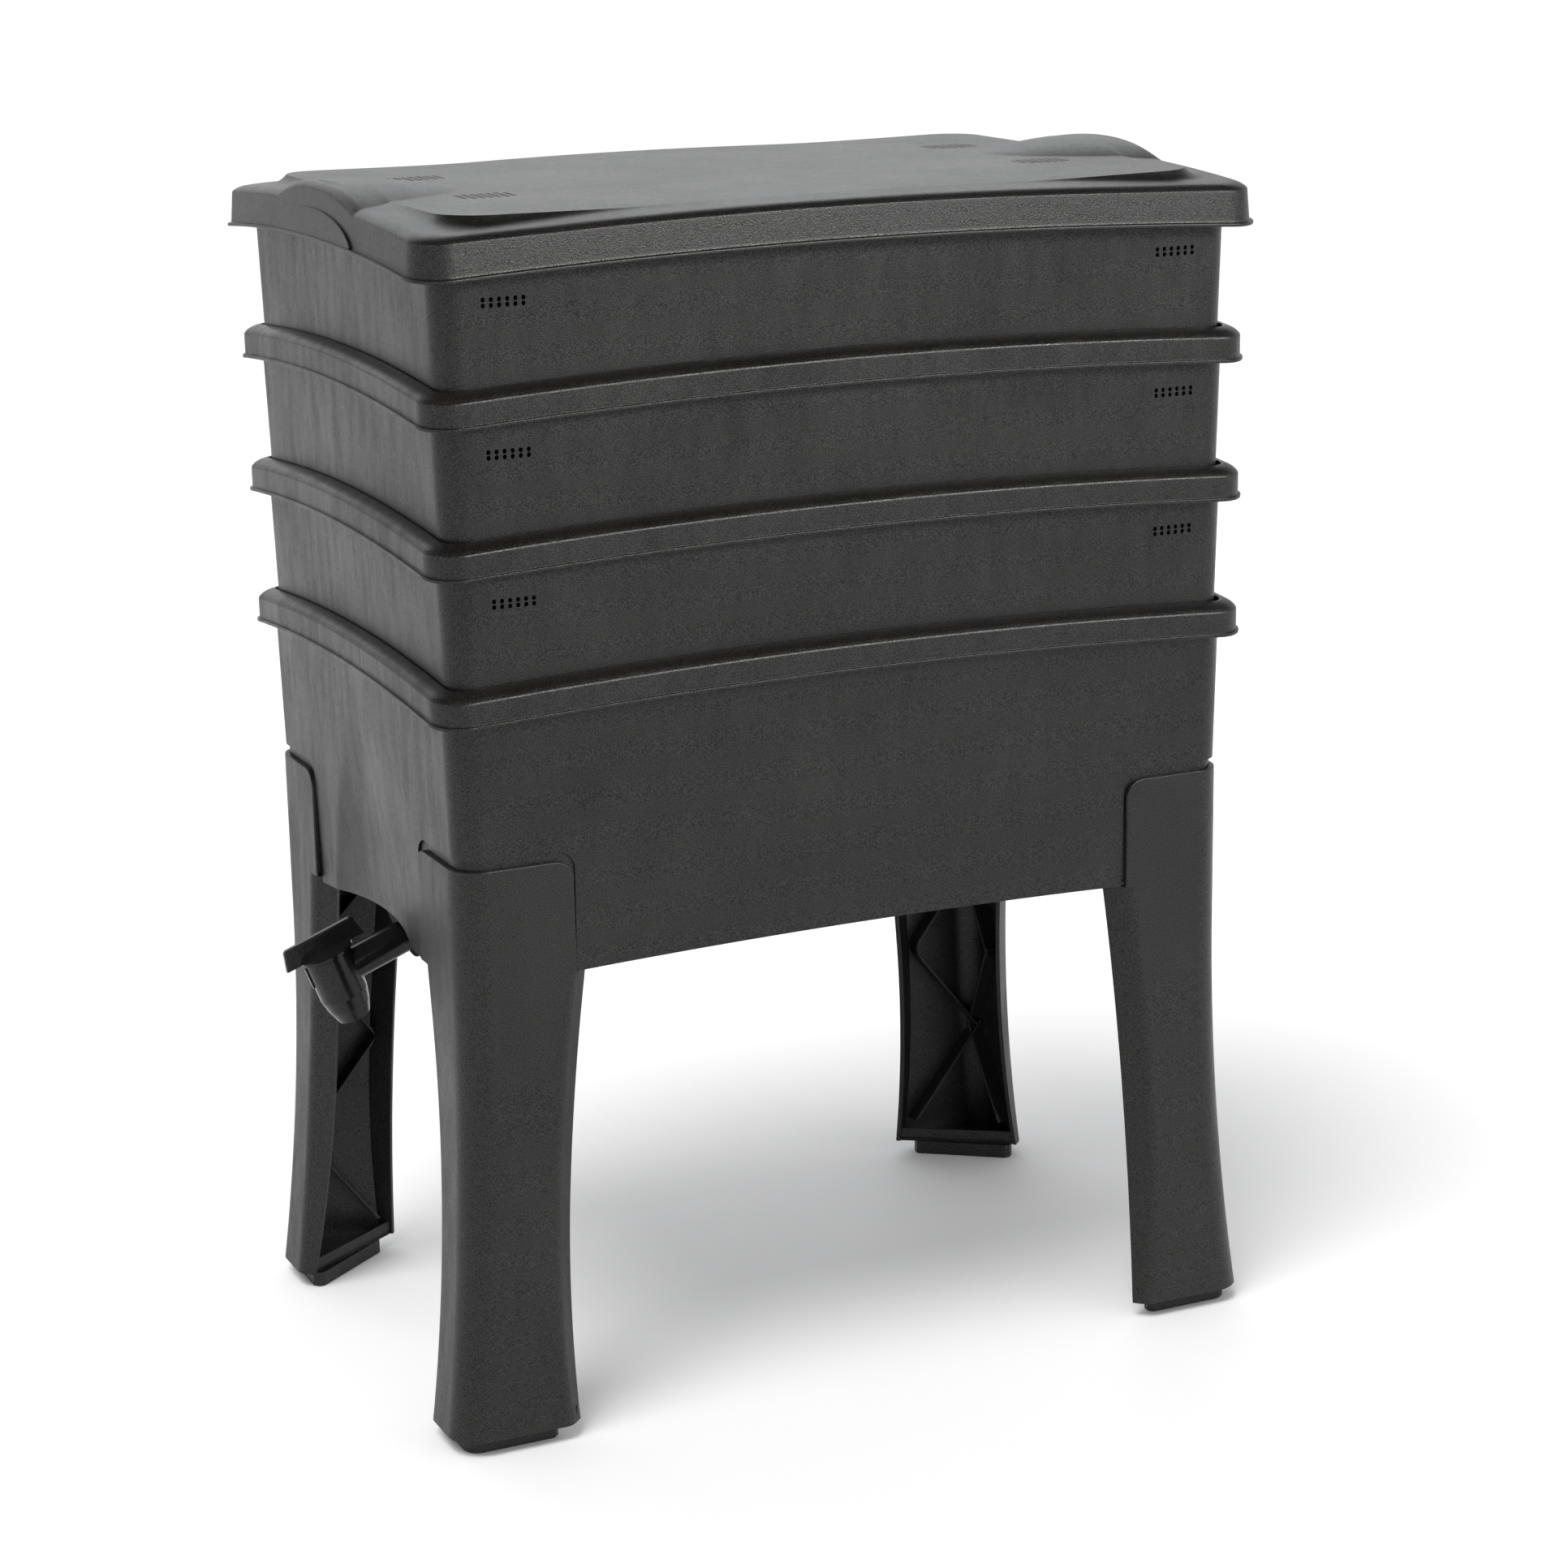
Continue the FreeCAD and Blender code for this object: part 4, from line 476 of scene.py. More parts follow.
def build_tray():
    xs, ys = station_lists()
    ring = Ring(RIM_A, RIM_B, RIM_R, xs, ys, 18)
    zb, zt = -90.85, -87.85
    rows = []

    def rad(z, wall=0.0):
        return 18.0 + z * 0.027933 - wall

    i0 = tray_inset(zb)
    rows.append((i0 + 6.0, rad(zb) - 6.0, zb, 0, 0))
    for i, z in rounded((i0 + 4, zb), (i0, zb), (tray_inset(zb + 4), zb + 4), 1.6, 4):
        rows.append((i, rad(z) - max(0.0, i - tray_inset(z)), z, 0, 0))
    for z in (-84, -72, -60, -48, -36, -27, -18, -9, -5):
        rows.append((tray_inset(z), rad(z), z, 0.0, 0))
    rows += rim_rows()
    for i, z in rounded((11.1, -3.0), (11.1, -4.5), (12.4, -4.5), 0.6):
        rows.append((i, 16.6 - (i - 11.1), z, 0, 0))
    for i, z in rounded((11.7, -4.5), (tray_inset(-4.5, 2.6), -4.5), (tray_inset(-8, 2.6), -8), 0.4):
        rows.append((i, rad(z, 2.6), z, 0, 0))
    for z in (-9, -18, -27, -40, -55, -70, -82):
        rows.append((tray_inset(z, 2.6), rad(z, 2.6), z, 0, 0))
    it = tray_inset(zt, 2.6)
    for i, z in rounded((tray_inset(zt + 5, 2.6), zt + 5), (it, zt), (it + 5, zt), 2.0, 4):
        rows.append((i, rad(zt, 2.6) - max(0.0, i - it), z, 0, 0))
    rows.append((it + 7.0, rad(zt, 2.6) - 6.5, zt, 0, 0))
    P = sweep(ring, rows, 0.0)
    n = ring.n
    verts = P.reshape(-1, 3)
    faces = strip_faces(len(rows), n)
    faces.append(tuple(reversed(range(n))))
    last = (len(rows) - 1) * n
    faces.append(tuple(range(last, last + n)))
    ob = object_from("tray_form", verts, faces)

    # floor holes and end vents
    parts = []
    for i in range(14):
        for j in range(9):
            x, y = (i - 6.5) * 36.0, (j - 4.0) * 36.0
            seg = 14
            ring_v = [(x + 3.5 * math.cos(2 * math.pi * k / seg), y + 3.5 * math.sin(2 * math.pi * k / seg)) for k in range(seg)]
            v = [(px, py, -95.0) for px, py in ring_v] + [(px, py, -83.0) for px, py in ring_v]
            f = [tuple(reversed(range(seg))), tuple(range(seg, 2 * seg))]
            f += [(k, (k + 1) % seg, seg + (k + 1) % seg, seg + k) for k in range(seg)]
            parts.append((v, f))
    wall_y = 172.3 - 17.5 * 0.027933
    for sx in (-1, 1):
        for sy in (-1, 1):
            cx, cz = sx * 218.8, -17.7
            ya, yb = sy * (wall_y - 0.8), sy * (wall_y + 4)
            parts.append(rounded_plate(cx, cz, 32.0, 11.8, 2.6, min(ya, yb), max(ya, yb)))
            for i in range(6):
                for j in range(2):
                    hx, hz = cx + (i - 2.5) * 4.9, cz + (j - 0.5) * 3.3
                    y0, y1 = sy * (wall_y - 9.0), sy * (wall_y + 1.0)
                    parts.append(rounded_plate(hx, hz, 2.4, 2.75, 1.0, min(y0, y1), max(y0, y1), 3))
    v, f = join_raw(parts)
    cutter = object_from("tray_cutter", v, f)
    boolean(ob, cutter)
    drop(cutter)

    # support ribs inside
    extra = []
    for x in (-150.0, 0.0, 150.0):
        for s in (-1, 1):
            extra.append(lean_rib(x, 172.3 - 2.6 - 8.0, 172.3 - 1.9, -88.4, -4.8, 0.027933, True, s))
    for y in (-70.0, 70.0):
        for s in (-1, 1):
            extra.append(lean_rib(y, 259.8 - 2.6 - 8.0, 259.8 - 1.9, -88.4, -4.8, 0.027933, False, s))
    v, f = join_raw(extra)
    ribs = object_from("tray_ribs", v, f)
    bm = bmesh.new()
    bm.from_mesh(ob.data)
    bm.from_mesh(ribs.data)
    bm.to_mesh(ob.data)
    bm.free()
    drop(ribs)
    return ob


def rounded_plate(cx, cz, w, h, r, y0, y1, seg=4):
    """Prism along Y with a rounded rectangle outline in XZ, as (verts, faces)."""
    pts = []
    for sx, sz, t0 in ((1, 1, 0), (-1, 1, 90), (-1, -1, 180), (1, -1, 270)):
        for k in range(seg + 1):
            th = math.radians(t0 + 90.0 * k / seg)
            pts.append((cx + sx * (w / 2 - r) + r * math.cos(th), cz + sz * (h / 2 - r) + r * math.sin(th)))
    n = len(pts)
    v = [(x, y0, z) for x, z in pts] + [(x, y1, z) for x, z in pts]
    f = [tuple(range(n)), tuple(reversed(range(n, 2 * n)))]
    f += [(k, n + k, n + (k + 1) % n, (k + 1) % n) for k in range(n)]
    return v, f


TRAY_LINES = {"tray_bottom": 539.95, "tray_middle": 626.3, "tray_top": 712.65}
BODY_OF = {"tray_bottom": "bottom_tray", "tray_middle": "middle_tray", "tray_top": "top_tray"}

tray_form = build_tray()
for node, line in TRAY_LINES.items():
    me = tray_form.data.copy()
    me.name = node + "_shell"
    me.transform(Matrix.Translation((0, 0, line * 0.001)))
    ob = bpy.data.objects.new(node + "_shell", me)
    bpy.context.scene.collection.objects.link(ob)
    finish_mesh(ob, material=M_BODY)
    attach(ob, BODY_OF[node])
    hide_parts(node)
drop(tray_form)

# ---------------------------------------------------------------------------
# Collector base
# ---------------------------------------------------------------------------

BASE_LINE, BASE_DRAFT = 453.6, math.tan(math.radians(1.45))
TILT = math.radians(21.0)
TAP_O = (-282.4, 260.4)


def scoop_x(y, z, off):
    """Face of the shallow scoop over the tap."""
    t = math.radians(5.82)
    return -519.2 - math.tan(t) * (z - 405.0) + np.sqrt((260.0 + off) ** 2 - y * y) / math.cos(t)


def soft_max(a, b, k):
    return np.maximum(a, b) + k * np.log1p(np.exp(-np.abs(a - b) / k))


def base_edge(x, y, end):
    """Height of the base's lower edge."""
    front = 298.0 - 5106.0 + np.sqrt(5106.0 ** 2 - x * x)
    side = 296.0 - 820.0 + np.sqrt(820.0 ** 2 - y * y)
    z = np.where(end, np.where(np.abs(y) < 98.2, side, 297.0), np.where(np.abs(x) < 186.2, front, 297.0))
    return z


def leg_path(X, Y, r, ex, ey, n_line=26, n_arc=14, round_end=12.0):
    """Points and outward normals from (ex, Y) round the corner to (X, ey)."""
    pts, nrm = [], []
    fine = [0.0, 0.08, 0.25, 0.5, 0.85, 1.3, 2.3, 3.6, 5.2, 7.2, 9.4, round_end]
    xs = [ex + f for f in fine] + list(np.linspace(ex + round_end, X - r, n_line))[1:]
    for x in xs:
        pts.append((x, Y)); nrm.append((0.0, 1.0))
    for k in range(1, n_arc):
        th = math.pi / 2 * (1 - k / n_arc)
        pts.append((X - r + r * math.cos(th), Y - r + r * math.sin(th))); nrm.append((math.cos(th), math.sin(th)))
    ys = list(np.linspace(Y - r, ey + round_end, n_line))[:-1] + [ey + f for f in reversed(fine)]
    for y in ys:
        pts.append((X, y)); nrm.append((1.0, 0.0))
    return np.array(pts), np.array(nrm)


def angle_plate(X, Y, r, ex, ey, z0, z1, thick, top_round=12.0, outside=0.0, edge=0.5, soft=0.0):
    """Closed angle plate with rounded upper corners, as (verts, faces)."""
    P, N = leg_path(X, Y, r, ex, ey)
    d_end = np.minimum(np.maximum(P[:, 0] - ex, 0) + (P[:, 1] < Y - 1e-6) * 1e3,
                       1e9)
    d_end = np.where(P[:, 1] < Y - r + 1e-6, P[:, 1] - ey, d_end)
    d_end = np.where((P[:, 1] >= Y - r + 1e-6) & (P[:, 0] > X - r - 1e-6), 1e3, d_end)
    if top_round > 0:
        k = np.clip(top_round - d_end, 0, top_round)
        top = z1 - (top_round - np.sqrt(np.maximum(top_round ** 2 - k * k, 0)))
    else:
        top = np.full(len(P), z1)
    section = [(outside, None, 0.0), (outside, "t", -edge), (outside - edge * 0.3, "t", -edge * 0.3),
               (outside - edge, "t", 0.0), (-thick, "t", 0.0), (-thick, None, 0.0)]
    verts = []
    for (x, y), (nx, ny), t, s in zip(P, N, top, d_end):
        back = soft - math.sqrt(max(0.0, soft ** 2 - max(0.0, soft - s) ** 2)) if soft else 0.0
        for off, kind, dz in section:
            if off > -thick:
                off -= back
            z = (max(t + dz, z0 + 0.05) if kind == "t" else z0)
            verts.append((x + nx * off, y + ny * off, z))
    m = len(section)
    faces = []
    for i in range(len(P) - 1):
        for j in range(m):
            a, b = i * m + j, i * m + (j + 1) % m
            faces.append((a, b, b + m, a + m))
    faces.append(tuple(range(m)))
    faces.append(tuple(reversed(range((len(P) - 1) * m, len(P) * m))))
    return np.array(verts), faces


def mirrored(part, sx, sy):
    v, f = part
    v = np.asarray(v, float) * np.array([sx, sy, 1.0])
    if sx * sy < 0:
        f = [tuple(reversed(q)) for q in f]
    return v, f


def prism_y(points, y0, y1):
    """Prism along Y from an XZ outline."""
    n = len(points)
    v = [(x, y0, z) for x, z in points] + [(x, y1, z) for x, z in points]
    f = [tuple(range(n)), tuple(reversed(range(n, 2 * n)))]
    f += [(k, n + k, n + (k + 1) % n, (k + 1) % n) for k in range(n)]
    return v, f


def build_base():
    sc_x, sc_y = 248.5 / 241.8, 161.0 / 154.3
    ex = []
    for s in (-1, 1):
        ex += [s * 186.19 * sc_x, s * 186.22 * sc_x]
    ey = []
    for s in (-1, 1):
        ey += [s * 98.19 * sc_y, s * 98.22 * sc_y]
    xs, ys = station_lists(step=8.0)
    xs = np.unique(np.concatenate([xs, ex]))
    ys = np.unique(np.concatenate([ys[np.abs(ys) > 84], sections(-83.5, 83.5, 1.7), ys[np.abs(ys) <= 84], ey]))
    ys = np.array([y for i, y in enumerate(ys) if i == 0 or y - ys[i - 1] > 0.025])
    ring = Ring(RIM_A, RIM_B, RIM_R, xs, ys, 18)
    end = np.abs(ring.nx) > 0.7
    left = (ring.nx < -0.9)
    xe, ye = ring.at(256.45, 168.95, 14.65)
    ze = base_edge(xe, ye, end)

    def wall(z, off, r_off=None):
        zz = (z - BASE_LINE) * BASE_DRAFT
        r = np.maximum(18.6 + zz - off, 0.6)
        x, y = ring.at(260.4 + zz - off, 172.9 + zz - off, r)
        x = np.where(left, soft_max(x, scoop_x(y, z, 0.0) + off, 0.35), x)
        return np.stack([x, y, z * np.ones(ring.n)], 1)

    rows = [wall(ze, 0.7), wall(ze + 0.2, 0.22), wall(ze + 0.75, 0.0)]
    top = 448.6
    k = 44
    for i in range(1, k + 1):
        rows.append(wall(ze + 0.75 + (top - ze - 0.75) * i / k, 0.0))
    rim = sweep(ring, rim_rows(), BASE_LINE)
    rows += list(rim[1:])
    for i, z in rounded((11.1, -3.0), (11.1, -4.5), (12.2, -4.5), 0.5):
        x, y = ring.at(RIM_A - i, RIM_B - i, 16.6 - (i - 11.1))
        rows.append(np.stack([x, y, np.full(ring.n, BASE_LINE + z)], 1))
    rows.append(wall(np.full(ring.n, BASE_LINE - 5.2), 2.8))
    for i in range(1, 25):
        rows.append(wall(448.0 + (ze + 0.6 - 448.0) * i / 24, 2.8))
    rows.append(wall(ze, 2.3))
    P = np.array(rows)
    n, m = ring.n, len(rows)
    faces = strip_faces(m, n)
    faces += [((m - 1) * n + j, (m - 1) * n + (j + 1) % n, (j + 1) % n, j) for j in range(n)]
    shell = object_from("collector_base_shell", P.reshape(-1, 3), faces)
    bm = bmesh.new()
    bm.from_mesh(shell.data)
    bmesh.ops.recalc_face_normals(bm, faces=bm.faces)
    bm.to_mesh(shell.data)
    bm.free()

    # leg pockets
    cut = []
    for sx in (-1, 1):
        for sy in (-1, 1):
            part = angle_plate(256.6, 169.1, 16.5, 186.2, 98.2, 284.0, 370.5, 0.0, 12.0, outside=14.0, edge=0.0)
            cut.append(mirrored(part, sx, sy))
    v, f = join_raw(cut)
    cutter = object_from("pocket_cutter", v, f)
    finish_cutter(cutter)
    boolean(shell, cutter)
    drop(cutter)

    # sloping floor and sump
    tan_f = math.tan(math.radians(1.76))
    xf, yf = ring.at(255.2, 167.7, 14.0)
    xf = np.where(left, soft_max(xf, scoop_x(yf, np.full(ring.n, 303.0), 1.4) + 0.0, 0.4), xf)
    zf = 303.0 + tan_f * (xf + 237.0)
    plate_v = np.vstack([np.stack([xf, yf, zf - 3.0], 1), np.stack([xf, yf, zf], 1)])
    plate_f = [tuple(reversed(range(n))), tuple(range(n, 2 * n))]
    plate_f += [(j, (j + 1) % n, n + (j + 1) % n, n + j) for j in range(n)]
    plate = object_from("collector_floor", plate_v, plate_f)
    cx, cz = TAP_O[0] + math.cos(TILT) * 55.0, TAP_O[1] + math.sin(TILT) * 55.0

    def panel(z, off):
        return cx + off / math.cos(TILT) - math.tan(TILT) * (z - cz)

    out_v, out_f = prism_y([(panel(261, 0), 261.0), (-153.0, 261.0), (-150.0, 303.4), (panel(301.6, 0), 301.6)], -45.0, 45.0)
    sump = object_from("sump", out_v, out_f)
    finish_cutter(sump)
    bm = bmesh.new()
    bm.from_mesh(sump.data)
    low = [e for e in bm.edges if min(v.co.z for v in e.verts) < 0.2615]
    bmesh.ops.bevel(bm, geom=low, offset=0.0014, segments=3, profile=0.5, affect="EDGES")
    bm.to_mesh(sump.data)
    bm.free()
    in_v, in_f = prism_y([(panel(264, 3), 264.0), (-156.0, 264.0), (-153.2, 330.0), (panel(330, 3), 330.0)], -42.0, 42.0)
    room = object_from("sump_room", in_v, in_f)
    finish_cutter(room)
    boolean(plate, room)
    boolean(sump, room)
    drop(room)
    seg = 40
    axis = np.array([math.cos(TILT), 0.0, math.sin(TILT)])
    side = np.array([0.0, 1.0, 0.0])
    upv = np.cross(axis, side)
    c0 = np.array([cx, 0.0, cz]) - axis * 6.0
    hv = []
    for s in (0.0, 14.0):
        for q in range(seg):
            th = 2 * math.pi * q / seg
            hv.append(c0 + axis * s + 10.9 * (math.cos(th) * side + math.sin(th) * upv))
    hf = [tuple(reversed(range(seg))), tuple(range(seg, 2 * seg))]
    hf += [(q, (q + 1) % seg, seg + (q + 1) % seg, seg + q) for q in range(seg)]
    hole = object_from("tap_hole", hv, hf)
    finish_cutter(hole)
    boolean(sump, hole)
    drop(hole)

    ribs = []
    for x in (-150.0, 0.0, 150.0):
        for s in (-1, 1):
            ribs.append(lean_rib(x, 172.9 - 2.8 - 8.0, 172.9 - 2.0, 308.0, 448.8, BASE_DRAFT, True, s))
    for y in (-70.0, 70.0):
        for s in (-1, 1):
            if s < 0:
                ribs.append(lean_rib(y, 260.4 - 2.8 - 8.0, 260.4 - 2.0, 395.0, 448.8, BASE_DRAFT, False, s))
            else:
                ribs.append(lean_rib(y, 260.4 - 2.8 - 8.0, 260.4 - 2.0, 316.0, 448.8, BASE_DRAFT, False, s))
    v, f = join_raw(ribs)
    rib_ob = object_from("base_ribs", v, f)
    bm = bmesh.new()
    for ob in (shell, plate, sump, rib_ob):
        bm.from_mesh(ob.data)
    bm.to_mesh(shell.data)
    bm.free()
    for ob in (plate, sump, rib_ob):
        drop(ob)
    return shell


base_ob = build_base()
finish_mesh(base_ob, angle=35, material=M_BODY)
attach(base_ob, "base")
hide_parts("collector_base")

# ---------------------------------------------------------------------------
# Legs
# ---------------------------------------------------------------------------


def leg_flange(z):
    t = min(1.0, max(0.0, (z - 9.9) / 150.0))
    return 8.0 + 5.0 * t * (2.0 - t)


def leg_curves(z):
    g = ((262.0 - z) / 252.1) ** 2 if z < 262.0 else 0.0
    xf = 205.0 - (z - 15.0) ** 2 / 3920.0 + 1.463 * (leg_flange(z) - 9.5)
    return 260.0 + 16.5 * g, 172.5 + 7.0 * g, xf, 130.5 - 21.0 * ((z - 30.0) / 262.0) ** 2


def build_leg():
    """Rear right leg; the other three are mirrored from it."""
    parts = []
    w, r = 3.0, 20.0
    levels = list(np.linspace(9.9, 294.3, 56))
    n_arc = 14
    q = math.tan(math.radians(22.5))
    s2 = math.sqrt(0.5)
    verts = []
    for z in levels:
        hx, hy, xf, ys = leg_curves(z)
        fl = leg_flange(z)
        bend = min(4.5, (hx - r - xf) * 0.6)
        sec = [(xf - fl + 0.5, hy - fl - 0.25), (xf - fl + 0.08, hy - fl + 0.08)]
        for k in range(6):
            t = k / 5.0
            p0, p1, p2 = (xf - bend * s2, hy - bend * s2), (xf, hy), (xf + bend, hy)
            sec.append(((1 - t) ** 2 * p0[0] + 2 * t * (1 - t) * p1[0] + t * t * p2[0],
                        (1 - t) ** 2 * p0[1] + 2 * t * (1 - t) * p1[1] + t * t * p2[1]))
        sec.append((hx - r, hy))
        for k in range(1, n_arc):
            th = math.pi / 2 * (1 - k / n_arc)
            sec.append((hx - r + r * math.cos(th), hy - r + r * math.sin(th)))
        sec.append((hx, hy - r))
        for k in range(6):
            t = k / 5.0
            p0, p1, p2 = (hx, ys + bend), (hx, ys), (hx - bend * s2, ys - bend * s2)
            sec.append(((1 - t) ** 2 * p0[0] + 2 * t * (1 - t) * p1[0] + t * t * p2[0],
                        (1 - t) ** 2 * p0[1] + 2 * t * (1 - t) * p1[1] + t * t * p2[1]))
        sec += [(hx - fl + 0.08, ys - fl + 0.08), (hx - fl - 0.25, ys - fl + 0.5)]
        sec += [(hx - fl - w * s2 + 0.2, ys - fl + w * s2 - 0.3), (hx - fl - w * s2 + 0.3, ys - fl + w * s2 + 0.5),
                (hx - w, ys + q * w), (hx - w, hy - r)]
        rr = r - w
        for k in range(1, n_arc):
            th = math.pi / 2 * k / n_arc
            sec.append((hx - r + rr * math.cos(th), hy - r + rr * math.sin(th)))
        sec += [(hx - r, hy - w), (xf + q * w, hy - w), (xf - fl + w * s2 + 0.5, hy - fl - w * s2 + 0.3),
                (xf - fl + w * s2 - 0.3, hy - fl - w * s2 + 0.2)]
        verts += [(x, y, z) for x, y in sec]
        n = len(sec)
    faces = strip_faces(len(levels), n)
    faces.append(tuple(reversed(range(n))))
    faces.append(tuple(range((len(levels) - 1) * n, len(levels) * n)))
    parts.append((verts, faces))
    parts.append(angle_plate(260.0, 172.5, 20.0, 187.5, 99.5, 294.3, 364.5, 3.0, 12.0, 0.0, 0.9, soft=1.3))
    parts.append(angle_plate(258.5, 171.0, 18.5, 187.5, 99.5, 294.25, 297.0, 9.0, 0.0, 0.0, 0.2))

    # zigzag ribs inside
    nodes = [(28.0, 0), (92.6, 1), (159.0, 0), (222.0, 1), (282.0, 0)]
    for (za, ca), (zb, cb) in zip(nodes[:-1], nodes[1:]):
        for along_x in (True, False):
            ends = []
            for z, at_corner in ((za, ca), (zb, cb)):
                hx, hy, xf, ys = leg_curves(z)
                old = xf - 1.463 * (leg_flange(z) - 9.5)
                ends.append((hx if along_x else hy) - 9.0 if at_corner else (old if along_x else ys) + 5.0)
            du, dz = ends[1] - ends[0], zb - za
            length = math.hypot(du, dz)
            nu, nz = -dz / length, du / length
            rows = []
            steps = 16
            for i in range(steps + 1):
                t = (-3.5 + (length + 7.0) * i / steps) / length
                u, z = ends[0] + du * t, za + dz * t
                sect = []
                for a, off in ((-1.0, 1.5), (1.0, 1.5), (1.0, 14.6), (0.6, 15.0), (-0.6, 15.0), (-1.0, 14.6)):
                    uu, zz = u + nu * a, z + nz * a
                    hx, hy, xf, ys = leg_curves(min(max(zz, 10.0), 294.0))
                    top, lo = ((hx, xf) if along_x else (hy, ys))
                    uu = min(max(uu, lo + 2.0), top - 6.5)
                    zz = min(zz, 294.0)
                    past = max(0.0, uu - (top - r))
                    off = max(off, r + 0.1 - math.sqrt((r - 1.4) ** 2 - past ** 2))
                    sect.append((uu, hy - off, zz) if along_x else (hx - off, uu, zz))
                rows += sect
            f = strip_faces(steps + 1, 6)
            f.append(tuple(reversed(range(6))))
            f.append(tuple(range(steps * 6, steps * 6 + 6)))
            parts.append((rows, f))

    # sole and its lip
    hx, hy, xf, ys = leg_curves(9.9)
    fl = leg_flange(9.9)
    plan = [(xf - fl + 1.5, hy - fl + 0.3), (xf + 0.6, hy - 1.0), (hx - r, hy - 1.0)]
    for k in range(1, 10):
        th = math.pi / 2 * (1 - k / 10.0)
        plan.append((hx - r + (r - 1) * math.cos(th), hy - r + (r - 1) * math.sin(th)))
    plan += [(hx - 1.0, hy - r), (hx - 1.0, ys + 0.6), (hx - fl + 0.3, ys - fl + 1.5)]
    n = len(plan)
    v = [(x, y, 9.95) for x, y in plan] + [(x, y, 12.9) for x, y in plan]
    f = [tuple(range(n)), tuple(reversed(range(n, 2 * n)))] + [(k, n + k, n + (k + 1) % n, (k + 1) % n) for k in range(n)]
    parts.append((v, f))
    a, b = np.array(plan[0]), np.array(plan[-1])
    al = (b - a) / np.linalg.norm(b - a)
    sd = np.array([-al[1], al[0]])
    if sd.sum() < 0:
        sd = -sd
    v = []
    for z, g in ((10.0, 0.0), (18.8, 0.0), (19.3, 0.35), (19.4, 0.8)):
        for c in (a + sd * g, b + sd * g, b + sd * (2.5 - g), a + sd * (2.5 - g)):
            v.append((c[0], c[1], z))
    f = strip_faces(4, 4) + [(3, 2, 1, 0), (12, 13, 14, 15)]
    parts.append((v, f))
    return parts


leg_parts = build_leg()
for node, sx, sy in (("leg_front_left", -1, -1), ("leg_front_right", 1, -1), ("leg_rear_left", -1, 1), ("leg_rear_right", 1, 1)):
    v, f = join_raw([mirrored(p, sx, sy) for p in leg_parts])
    ob = object_from(node + "_shell", v, f)
    finish_mesh(ob, angle=35, material=M_LEG)
    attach(ob, "base")
    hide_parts(node)

# ---------------------------------------------------------------------------
# Lid
# ---------------------------------------------------------------------------

LID_LINE = 710.7
LID_A, LID_B, LID_R = 273.2, 185.7, 22.5
TOP_A, TOP_B, TOP_R = 271.7, 184.2, 21.0       # where the skirt turns into the top
DECK_A, DECK_B, DECK_R = 245.0, 158.0, 26.0
BAND_TOP, SHOULDER_H, SHOULDER_W = 21.4, 3.5, 9.0


def swell(t):
    """Profile of the top's outer edge: 0 at the skirt, 1 on the level."""
    t = np.clip(t, 0.0, 1.0)
    return (1.0 - (1.0 - t) ** 2.6) ** 0.77


def corner_lift(x, y):
    return 1.1 * np.clip((np.abs(x) - 190.0) / 83.0, 0, 1) * (y / 185.0) ** 2


def band_height(x, y, d):
    """Height of the border band, d millimetres in from the skirt."""
    return BAND_TOP - SHOULDER_H + SHOULDER_H * swell(d / SHOULDER_W) + arch(x, y) + corner_lift(x, y)


def deck_height(x, y):
    ax, ay = np.abs(x), np.abs(y)
    flat = 743.4 - LID_LINE - x * x / 60000.0
    band = band_height(ax, 158.0, 99.0)
    outer = band_height(124.0, 158.0, 99.0) + (ax - 124.0) * 0.0125
    k = 0.6
    edge = np.where(ax < 70, band, k * np.logaddexp(band / k, outer / k))
    return flat + (edge - flat) * np.clip(ay / 158.0, 0, 1) ** 5


def hump_bulge(x, y, surf0):
    """Extra height of the end humps over the surface beside them."""
    ax, ay = np.abs(x), np.abs(y)
    t = np.clip((ax - 180.6) / 92.0, 0, 1)
    w = 73.0 * np.sqrt(t) + 1e-6
    ridge = 750.8 - LID_LINE - 7.8 * (np.clip(264.5 - ax, 0, 84) / 84.0) ** 1.92
    over = np.clip(ridge - surf0, 0, None)
    s = np.clip(1.0 - (ay / w) ** 2.4, 0, None)
    groove = 1.3 * np.exp(-((ax - 264.0) / 1.7) ** 2) * np.exp(-(y / 26.0) ** 2)
    return np.where(t > 0, over * s - groove * (s > 0), 0.0)


